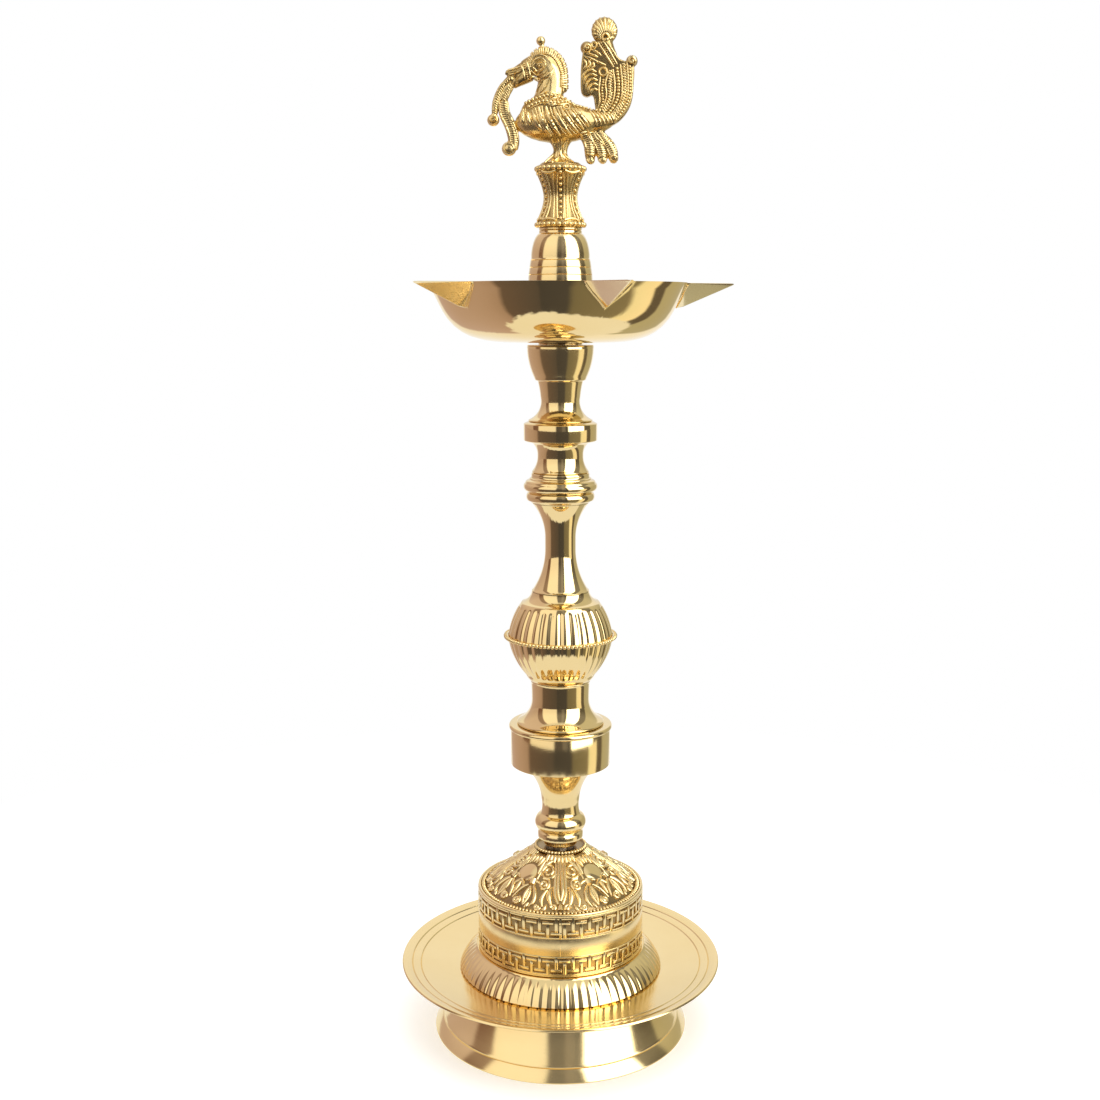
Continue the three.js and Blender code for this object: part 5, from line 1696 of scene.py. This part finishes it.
def castBeads(places, pitch, radius):
    beads = []
    for point, along in evenSteps(places, pitch):
        for side in (1, -1):
            place = onBird(point.x, point.y, side, 0.15)
            if place is not None:
                beads.append((place, radius))
    return beads


def besideLine(places, gap):
    # the same line moved sideways
    points = throughPoints(places, 1.5)
    moved = []
    for index, point in enumerate(points):
        ahead = points[min(index + 1, len(points) - 1)] - points[max(index - 1, 0)]
        ahead.normalize()
        moved.append((point.x - ahead.y * gap, point.y + ahead.x * gap))
    return moved


strandSizes = {"edge": 0.62, "rib": 0.42, "ribPitch": 1.15, "toeWidth": 1.8, "toeEdge": 2.1}
maneSizes = {"teeth": 30, "tooth": 0.5, "past": 0.6}


browLine = [(-16.1, 50.2), (-14.4, 53.9), (-10.6, 55.5), (-7.0, 54.3)]
lidLine = [(-15.2, 49.5), (-13.3, 52.4), (-10.0, 53.6), (-7.6, 52.0)]
eyeLine = [
    (-14.7, 49.5), (-12.2, 52.0), (-9.2, 52.0), (-7.8, 50.8), (-9.2, 48.4), (-12.2, 47.6),
    (-14.7, 49.5),
]
# the other lines of the face, each with its radius: under the eye, cheek, neck, collar, beak
headLines = [
    ([(-15.5, 47.8), (-12.8, 46.0), (-8.9, 46.0), (-7.0, 48.1)], 0.42),
    ([(-16.1, 45.6), (-12.2, 43.6), (-8.6, 43.8), (-5.6, 46.0), (-3.2, 48.6)], 0.6),
    ([(-3.4, 48.4), (-6.0, 43.4), (-8.6, 38.6), (-11.6, 35.6)], 0.5),
    ([(-8.4, 44.4), (-10.6, 41.0), (-12.6, 37.4)], 0.4),
    ([(-20.7, 51.0), (-19.6, 47.6), (-18.5, 43.6)], 0.45),
    ([(-17.8, 52.9), (-16.6, 48.1), (-15.4, 43.4)], 0.5),
    ([(-21.0, 49.7), (-24.3, 48.9), (-27.6, 48.2), (-29.3, 48.6)], 0.5),
    ([(-20.5, 48.0), (-23.2, 46.9), (-25.6, 46.2), (-27.6, 46.4)], 0.42),
    ([(-20.3, 46.4), (-22.8, 44.4), (-25.0, 41.0)], 0.4),
    ([(-19.4, 44.6), (-21.8, 43.0), (-23.8, 40.0)], 0.4),
]
headSizes = {"eye": (-11.0, 50.0), "pupil": 0.85, "iris": 1.25, "irisLine": 0.34}


def makeHead(size):
    x, z = size["eye"]
    strokes = castLine(browLine, 0.55) + castLine(lidLine, 0.42) + castLine(eyeLine, 0.42, ends=0.9)
    strokes += castRing(x, z, size["iris"], size["irisLine"])
    for line, radius in headLines:
        strokes += castLine(line, radius)
    beads = castBeads([(-19.4, 51.9), (-18.1, 48.1), (-16.9, 43.6)], 1.15, 0.48)
    for side in (1, -1):
        beads.append((onBird(x, z, side), size["pupil"]))
    return strokes, beads


maneTips = [
    (-17.0, 53.6), (-15.3, 56.4), (-12.6, 58.8), (-8.6, 60.0), (-4.4, 59.0), (-1.4, 57.0), (1.2, 54.2),
    (2.9, 50.4), (3.5, 46.4), (3.7, 42.4), (3.6, 38.6),
]
maneRoots = [
    (-16.0, 53.0), (-13.6, 55.2), (-11.0, 56.7), (-7.8, 57.0), (-4.8, 56.0), (-2.2, 53.8), (-0.5, 51.2),
    (0.6, 47.8), (0.8, 44.6), (0.8, 41.6), (0.8, 38.4),
]


def makeMane(size):
    # locks side by side, each over the edge from one side of the bird to the other
    outer, inner = throughPoints(maneTips, 0.5), throughPoints(maneRoots, 0.5)
    strokes = []
    for step in range(size["teeth"]):
        share = (step + 0.5) / size["teeth"]
        tip = outer[int(share * (len(outer) - 1))]
        root = inner[max(0, int(share * (len(inner) - 1)) - 1)]
        start = root + (root - tip) * 0.35
        halves = []
        for side in (1, -1):
            half = [
                (onBird(*start.lerp(tip, reach), side, 0.1), size["tooth"])
                for reach in (0, 0.3, 0.6, 0.85)
            ]
            halves.append([(place, radius) for place, radius in half if place is not None])
        edge = tip + (tip - root).normalized() * size["past"]
        ridge = [((edge.x, 0, birdLow + edge.y), size["tooth"])]
        strokes.append(halves[0] + ridge + halves[1][::-1])
    return strokes


def makeStrand(path, half, size):
    # a twisted strand: ribs down its middle between two raised edges
    strokes = castRibs(path, half * 0.62, size["ribPitch"], size["rib"], 0.45)
    for gap in (half * 0.78, -half * 0.78):
        strokes += castLine(besideLine(path, gap), size["edge"], 0.0)
    return strokes


def makeGarlandLines(size):
    strokes = makeStrand([
        (-26.2, 43.4), (-29.4, 40.6), (-32.0, 36.6), (-33.8, 31.8), (-34.6, 26.6),
    ], 1.5, size)
    strokes += makeStrand([(-25.6, 41.4), (-28.4, 37.0), (-29.8, 33.4)], 1.5, size)
    strokes += makeStrand([
        (-29.8, 32.6), (-29.5, 27.0), (-27.2, 21.7), (-25.2, 16.6), (-24.4, 12.0),
    ], 2.6, size)
    strokes += castSpiral(-35.5, 23.2, 2.5, 1.5, 0.5, 60, -1) + castRing(-27.2, 8.6, 2.6, 0.4)
    return strokes


def makeNecklace():
    upper = [
        (-19.2, 30.8), (-15.5, 32.8), (-11.1, 34.1), (-6.7, 35.2), (-2.3, 34.9), (1.0, 33.9), (4.3, 34.7),
        (6.8, 33.0),
    ]
    lower = [(-17.7, 28.8), (-13.9, 30.7), (-8.9, 32.0), (-4.5, 31.5), (-1.2, 31.2), (2.6, 32.0), (6.4, 30.8)]
    beads = castBeads(upper, 2.0, 1.05) + castBeads(lower, 2.0, 1.05)
    strokes = castLine(besideLine(upper, 1.3), 0.4) + castLine(besideLine(lower, -1.3), 0.4)
    for x, z in ((-4.5, 34.9), (-4.5, 31.2), (-0.1, 32.8), (4.3, 33.9), (3.2, 29.1)):
        strokes += castRing(x, z, 1.6, 0.45)
        for side in (1, -1):
            place = onBird(x, z, side, 0.2)
            if place is not None:
                beads.append((place, 0.75))
    return strokes, beads


featherLines = [
    [(-20.4, 28.2), (-21.2, 24.6), (-20.6, 21.4)],
    [(-18.2, 29.0), (-18.8, 24.6), (-17.8, 19.8)],
    [(-16.1, 25.9), (-15.4, 22.8), (-13.3, 20.2)],
    [(-13.3, 28.6), (-12.2, 25.4), (-10.6, 21.2), (-8.4, 17.4), (-5.8, 14.2)],
    [(-9.7, 29.4), (-8.9, 24.3), (-7.0, 19.6), (-3.8, 15.0)],
    [(-5.4, 29.0), (-4.2, 25.0), (-1.8, 20.8), (1.0, 16.9), (3.4, 14.6)],
    [(-1.6, 28.4), (0.2, 24.2), (3.0, 20.2), (6.2, 16.9), (8.3, 15.4)],
    [(2.4, 28.0), (4.8, 24.0), (7.6, 20.3), (10.6, 17.2)],
    [(6.0, 28.4), (8.7, 24.6), (11.5, 21.2), (13.5, 18.8)],
    [(9.4, 28.0), (12.0, 25.0), (14.6, 22.2), (16.1, 20.3)],
]


def betweenLines(first, second, pitch, count):
    # the line half way between two smooth lines
    one, other = throughPoints(first, pitch), throughPoints(second, pitch)
    places = []
    for step in range(count):
        share = step / (count - 1)
        near, far = one[int(share * (len(one) - 1))], other[int(share * (len(other) - 1))]
        places.append(((near.x + far.x) / 2, (near.y + far.y) / 2))
    return places


def makeFeathers(lines):
    # smooth lobes between thin raised quills, short barbs on the rump and a row of beads on the back
    strokes = []
    for line in lines:
        strokes += castLine(line, 0.3, 0.2, 0.7, 0.7)
    for first, second in zip(lines[:-1], lines[1:]):
        strokes += castLine(betweenLines(first, second, 0.4, 6), 0.95, -0.3, 0.7, 0.5)
    for shift in range(6):
        x = 15.4 + shift * 2.0
        barb = [(x, 27.6 - shift * 0.25), (x + 2.4, 24.2), (x + 3.8, 20.0 + shift * 0.4)]
        strokes += castLine(barb, 0.5, 0.0, 0.7, 0.7)
    beads = castBeads([(6.2, 30.4), (10.0, 29.6), (14.0, 28.8), (18.0, 28.0), (22.0, 27.6)], 1.7, 0.8)
    return strokes, beads


stalkLines = [
    [(-4.6, 13.4), (-3.2, 9.5), (-3.3, 6.2), (-5.6, 3.4), (-8.4, 1.2)],
    [(4.2, 13.4), (1.8, 9.5), (1.7, 6.4), (3.8, 3.7), (6.9, 1.2)],
    [(-1.2, 13.6), (-0.8, 9.5), (-0.8, 6.0), (-1.6, 3.6), (-4.4, 1.0)],
    [(0.6, 13.6), (0.2, 9.5), (0.2, 6.0), (1.0, 3.6), (3.4, 1.0)],
]


def makeStalkLines(lines):
    strokes = []
    for line in lines:
        strokes += castLine(line, 0.5, 0.05, 0.7, 0.7)
    return strokes


def makeToeLines(size):
    strokes = []
    for rootX, endX in tailToes:
        line = [(rootX + 0.6, 17.2), (rootX + 1.6, 15.0), ((rootX + endX) / 2 + 1.6, 11), (endX, 5.6)]
        strokes += castRibs(line, size["toeWidth"], size["ribPitch"], size["rib"], 0.3)
        for gap in (size["toeEdge"], -size["toeEdge"]):
            strokes += castLine(besideLine(line, gap), 0.5, 0.0)
        strokes += castRing(endX, 3.4, 1.7, 0.4)
    return strokes


tailBands = [
    [(25.4, 47.6), (23.6, 41.8), (24.1, 34.9), (21.9, 28.0)],
    [(27.4, 48.6), (28.5, 40.2), (27.4, 32.3), (22.9, 26.2)],
    [(31.3, 51.0), (32.4, 40.2), (31.3, 32.3), (26.0, 24.6)],
    [(34.8, 52.0), (35.5, 40.2), (34.2, 32.3), (28.6, 23.6)],
    [(37.2, 49.6), (37.6, 41.0), (36.6, 33.0), (33.6, 27.0), (28.4, 21.6)],
]
# short scales on the tail's left plate, and the lines that cross it
plateScales = [
    [(18.8, 47.3), (15.3, 48.3), (12.4, 46.4), (11.6, 43.0)],
    [(19.2, 45.2), (15.5, 46.2), (13.0, 44.0), (12.2, 40.8)],
    [(19.6, 42.9), (16.2, 43.9), (13.9, 41.6), (13.2, 38.4)],
    [(19.8, 40.5), (17.0, 41.4), (15.0, 39.6), (14.4, 36.6)],
    [(19.6, 38.0), (17.6, 38.8), (16.2, 37.6), (15.8, 36.4)],
    [(12.2, 53.6), (13.6, 50.8), (12.0, 48.4)],
    [(14.6, 53.4), (15.6, 50.6), (13.8, 48.8)],
    [(17.0, 52.4), (17.6, 50.0), (16.0, 48.8)],
]
plateEdge = [(12.0, 55.2), (15.9, 53.9), (19.7, 52.0), (23.8, 50.6)]
plumeLines = [
    ([(19.6, 62.0), (23.4, 56.1), (27.8, 49.6)], 0.5),
    ([(22.4, 62.4), (26.0, 56.6), (29.6, 51.0)], 0.5),
]


def makeTailLines(bands):
    # ribbed and beaded cords side by side, with a plain line between them
    strokes, beads = [], []
    for band in bands:
        strokes += castLine(band, 0.42, 0.1, 0.7, 0.8)
    for index, (first, second) in enumerate(zip(bands[:-1], bands[1:])):
        cord = betweenLines(first, second, 0.5, 7)
        if index % 2 == 0:
            strokes += castLine(cord, 0.6, -0.1, 0.7, 0.8)
            strokes += castRibs(cord, 1.05, 1.3, 0.44, 0.5, 0.45)
        else:
            beads += castBeads(cord, 1.6, 0.95)
    beads += castBeads([(22.6, 44.0), (21.8, 38.0), (22.2, 32.0), (20.6, 28.0)], 1.4, 0.7)
    strokes += castLine([(20.9, 45.0), (20.2, 38.6), (20.6, 32.6), (19.3, 28.0)], 0.4)
    for line in plateScales:
        strokes += castLine(line, 0.55)
    strokes += castRing(22.3, 47.4, 2.0, 0.55)
    strokes += castLine(plateEdge, 0.55)
    for line, radius in plumeLines:
        strokes += castLine(line, radius)
    beads += castBeads([(21.0, 62.0), (24.7, 56.4), (28.6, 50.6)], 1.1, 0.45)
    strokes += castLine([(24.6, 61.6), (27.4, 57.6), (29.8, 54.0)], 0.42)
    strokes += castSpiral(37.2, 52.9, 2.2, 1.3, 0.6, -60, 1)
    strokes += castSpiral(14.0, 59.4, 2.4, 1.4, 0.5, 200, 1)
    strokes += castRing(17.6, 60.8, 1.3, 0.5)
    for line in ([(13.4, 56.6), (16.4, 56.0), (19.6, 54.6)], [(16.0, 58.4), (18.6, 57.4), (21.4, 55.4)]):
        strokes += castLine(line, 0.5)
    return strokes, beads


def makeCrownLines():
    # petals spread like a palm from the hub, with a hollow below
    strokes = castRing(23.5, 64.7, 1.7, 0.6)
    for step in range(13):
        angle = math.radians(-28 + 236 * step / 12)
        outward = math.pi / 2 + (angle - math.pi / 2) * 1.08
        root = Vector((23.4 + 2.5 * math.cos(angle), 64.9 + 2.5 * math.sin(angle)))
        tip = Vector((22.9 + 6.4 * math.cos(outward), 68.3 + 6.4 * math.sin(outward)))
        middle = root.lerp(tip, 0.5) + Vector((0, 0.5 + 0.3 * abs(math.cos(angle))))
        strokes += castLine([tuple(root), tuple(middle), tuple(tip)], 0.52, 0.1, 0.7, 0.8)
    return strokes


def makeBirdLines():
    bpy.context.view_layer.update()
    headStrokes, headBeads = makeHead(headSizes)
    chainStrokes, chainBeads = makeNecklace()
    bodyStrokes, bodyBeads = makeFeathers(featherLines)
    tailStrokes, tailBeads = makeTailLines(tailBands)
    strokes = headStrokes + makeMane(maneSizes) + makeGarlandLines(strandSizes) + chainStrokes + bodyStrokes
    strokes += makeStalkLines(stalkLines) + makeToeLines(strandSizes) + tailStrokes + makeCrownLines()
    lines = makeStrokes("birdStrokes", strokes, 1, 2)
    beads = makeBeads("birdBeads", headBeads + chainBeads + bodyBeads + tailBeads, 8, 5)
    return joinPieces("birdLines", [lines, beads])


dress(makeBirdLines(), castBrass, "finial", "cast_brass")
print("bird made")


# metal of the hidden pieces that stay as the frame has them

def dressNode(name, material):
    node = bpy.data.objects[name]
    for slot in node.material_slots:
        slot.material = material


steelNodes = ["tie_rod", "tie_rod_washer", "tie_rod_nut", "tie_rod_top_nut", "ball_stud", "middle_stud",
              "bowl_stud"]
for name in steelNodes:
    dressNode(name, threadSteel)
for name in ("stem_washer", "ball_washer", "knop_washer", "cap_washer"):
    dressNode(name, castBrass)
print("hidden pieces dressed")


# floor, room and lights

# bands round the room, from behind over the left, the front and the right: degrees from the front, colour
roomSides = [
    (-180, (0.86, 0.86, 0.88)),
    (-152, (0.84, 0.83, 0.82)),
    (-148, (0.60, 0.48, 0.48)),
    (-96, (0.56, 0.44, 0.44)),
    (-92, (0.20, 0.11, 0.09)),
    (-74, (0.22, 0.13, 0.10)),
    (-70, (1.05, 0.97, 0.86)),
    (-16, (1.0, 0.95, 0.88)),
    (-12, (0.09, 0.08, 0.085)),
    (3, (0.11, 0.10, 0.10)),
    (7, (0.22, 0.20, 0.20)),
    (14, (0.20, 0.19, 0.19)),
    (18, (0.09, 0.085, 0.09)),
    (23, (0.10, 0.095, 0.095)),
    (27, (3.6, 3.6, 3.6)),
    (76, (3.6, 3.6, 3.6)),
    (80, (0.13, 0.12, 0.11)),
    (104, (0.13, 0.12, 0.10)),
    (108, (0.50, 0.48, 0.36)),
    (148, (0.50, 0.48, 0.38)),
    (153, (0.86, 0.86, 0.88)),
    (180, (0.86, 0.86, 0.88)),
]
# the same round the floor, as the brass mirrors it
floorSides = [
    (-180, (1.0, 1.0, 1.0)),
    (-152, (0.95, 0.93, 0.9)),
    (-148, (0.58, 0.45, 0.45)),
    (-96, (0.48, 0.36, 0.35)),
    (-80, (0.42, 0.31, 0.29)),
    (-72, (0.15, 0.11, 0.10)),
    (-16, (0.10, 0.085, 0.085)),
    (-12, (0.07, 0.065, 0.07)),
    (23, (0.08, 0.075, 0.08)),
    (30, (0.20, 0.18, 0.13)),
    (64, (0.26, 0.23, 0.16)),
    (69, (1.0, 0.95, 0.72)),
    (88, (1.1, 1.0, 0.76)),
    (92, (0.14, 0.12, 0.10)),
    (106, (0.14, 0.12, 0.10)),
    (110, (0.50, 0.48, 0.36)),
    (148, (0.50, 0.48, 0.38)),
    (153, (1.0, 1.0, 1.0)),
    (180, (1.0, 1.0, 1.0)),
]
# a ramp only holds colours up to 1, so they are divided by this and multiplied after it
brightest = 4.0


def addRoomRamp(tree, across, depth, bands):
    # bands of light and shade round the lamp, by direction counted from the front
    turn = mathNode(tree, "ARCTAN2", across, mathNode(tree, "MULTIPLY", depth, -1.0))
    share = mathNode(tree, "ADD", mathNode(tree, "DIVIDE", turn, fullTurn), 0.5)
    ramp = tree.nodes.new("ShaderNodeValToRGB")
    tree.links.new(share, ramp.inputs[0])
    stops = ramp.color_ramp.elements
    for index, (degrees, colour) in enumerate(bands):
        place = (degrees + 180) / 360
        if index == 0:
            stop = stops[0]
        elif index == len(bands) - 1:
            stop = stops[len(stops) - 1]
        else:
            stop = stops.new(place)
        stop.position = place
        stop.color = (*[channel / brightest for channel in colour], 1)
    scale = addNode(tree, "ShaderNodeVectorMath", operation="SCALE", in_Scale=brightest)
    tree.links.new(ramp.outputs[0], scale.inputs[0])
    return scale.outputs[0]


def mixColour(tree, factor, first, second):
    mix = addNode(tree, "ShaderNodeMix", data_type="RGBA")
    for label, value in (("Factor", factor), ("A", first), ("B", second)):
        if isinstance(value, tuple):
            mix.inputs[label].default_value = value
        else:
            tree.links.new(value, mix.inputs[label])
    return mix.outputs["Result"]


def mixShader(tree, factor, first, second):
    mix = tree.nodes.new("ShaderNodeMixShader")
    for index, source in enumerate((factor, first, second)):
        tree.links.new(source, mix.inputs[index])
    return mix.outputs[0]


def rangeNode(tree, value, start, end, most=1.0):
    # 0 at the start, rising to the most at the end
    node = addNode(tree, "ShaderNodeMapRange", in_From_Min=start, in_From_Max=end, in_To_Max=most)
    tree.links.new(value, node.inputs["Value"])
    return node.outputs[0]


roomSizes = {"liftStart": 0.15, "liftEnd": 0.50, "lift": 0.14, "ceilingStart": 0.86, "ceilingEnd": 0.94}


def makeRoom(size):
    # what the brass mirrors: the sides, a little lighter higher up, and a pale ceiling
    world = bpy.data.worlds.new("room")
    bpy.context.scene.world = world
    world.use_nodes = True
    tree = world.node_tree
    background = tree.nodes["Background"]
    place = tree.nodes.new("ShaderNodeTexCoord")
    parts = tree.nodes.new("ShaderNodeSeparateXYZ")
    tree.links.new(place.outputs["Generated"], parts.inputs[0])
    sides = addRoomRamp(tree, parts.outputs["X"], parts.outputs["Y"], roomSides)
    lift = rangeNode(tree, parts.outputs["Z"], size["liftStart"], size["liftEnd"], size["lift"])
    lifted = addNode(tree, "ShaderNodeVectorMath", operation="ADD")
    tree.links.new(sides, lifted.inputs[0])
    tree.links.new(lift, lifted.inputs[1])
    up = rangeNode(tree, parts.outputs["Z"], size["ceilingStart"], size["ceilingEnd"])
    seen = mixColour(tree, up, lifted.outputs[0], (0.85, 0.84, 0.80, 1))
    ray = tree.nodes.new("ShaderNodeLightPath")
    lit = mixColour(tree, ray.outputs["Is Glossy Ray"], (0.95, 0.95, 0.95, 1), seen)
    tree.links.new(
        mixColour(tree, ray.outputs["Is Camera Ray"], lit, (1, 1, 1, 1)), background.inputs["Color"]
    )


floorSizes = {"side": 60.0, "nearWhite": 0.35, "farWhite": 0.38, "waveScale": 9.0, "waveDepth": 0.16,
              "fadeStart": 0.16, "fadeEnd": 0.6, "grainScale": 30.0}


def makeFloor(size):
    # pale matt ground; in the brass its white ends a little way from the lamp, in a wavy line
    clearSelection()
    bpy.ops.mesh.primitive_grid_add(x_subdivisions=4, y_subdivisions=4, size=size["side"])
    floor = bpy.context.object
    floor.name = "floor"
    material = bpy.data.materials.new("paleFloor")
    material.use_nodes = True
    tree = material.node_tree
    shader = tree.nodes["Principled BSDF"]
    shader.inputs["Roughness"].default_value = 0.6
    shader.inputs["Specular IOR Level"].default_value = 0.2
    shader.inputs["Emission Color"].default_value = (1, 1, 1, 1)
    shader.inputs["Emission Strength"].default_value = 0.3
    place = tree.nodes.new("ShaderNodeTexCoord")
    parts = tree.nodes.new("ShaderNodeSeparateXYZ")
    tree.links.new(place.outputs["Object"], parts.inputs[0])
    away = addNode(tree, "ShaderNodeVectorMath", operation="LENGTH")
    tree.links.new(place.outputs["Object"], away.inputs[0])
    grain = addNode(tree, "ShaderNodeTexNoise", in_Scale=size["grainScale"])
    tree.links.new(place.outputs["Object"], grain.inputs["Vector"])
    paint = mixColour(tree, grain.outputs["Fac"], (0.93, 0.93, 0.93, 1), (0.96, 0.96, 0.96, 1))
    tree.links.new(paint, shader.inputs["Base Color"])
    sides = addRoomRamp(tree, parts.outputs["X"], parts.outputs["Y"], floorSides)
    waves = addNode(tree, "ShaderNodeTexNoise", in_Scale=size["waveScale"])
    tree.links.new(place.outputs["Object"], waves.inputs["Vector"])
    swing = mathNode(tree, "MULTIPLY", waves.outputs["Fac"], size["waveDepth"])
    edge = mathNode(tree, "ADD", swing, away.outputs["Value"])
    near = rangeNode(tree, edge, size["nearWhite"], size["farWhite"])
    mirrored = tree.nodes.new("ShaderNodeEmission")
    tree.links.new(mixColour(tree, near, (0.95, 0.95, 0.94, 1), sides), mirrored.inputs["Color"])
    fade = rangeNode(tree, away.outputs["Value"], size["fadeStart"], size["fadeEnd"])
    white = addNode(tree, "ShaderNodeEmission", in_Color=(1, 1, 1, 1))
    ray = tree.nodes.new("ShaderNodeLightPath")
    direct = mixShader(tree, fade, shader.outputs[0], white.outputs[0])
    either = mixShader(tree, ray.outputs["Is Glossy Ray"], direct, mirrored.outputs[0])
    tree.links.new(either, tree.nodes["Material Output"].inputs["Surface"])
    floor.data.materials.append(material)


def addSoftLight(name, place, aim, side, power):
    light = bpy.data.lights.new(name, "AREA")
    light.size = side
    light.energy = power
    lamp = bpy.data.objects.new(name, light)
    bpy.context.collection.objects.link(lamp)
    lamp.location = place
    lamp.rotation_euler = (Vector(aim) - Vector(place)).to_track_quat("-Z", "Y").to_euler()
    lamp.visible_glossy = False


makeRoom(roomSizes)
makeFloor(floorSizes)
addSoftLight("topLight", place=(0.3, -0.5, 1.8), aim=(0, 0, 0.1), side=1.2, power=9)
bpy.context.scene.view_settings.view_transform = "Standard"
print("room made")
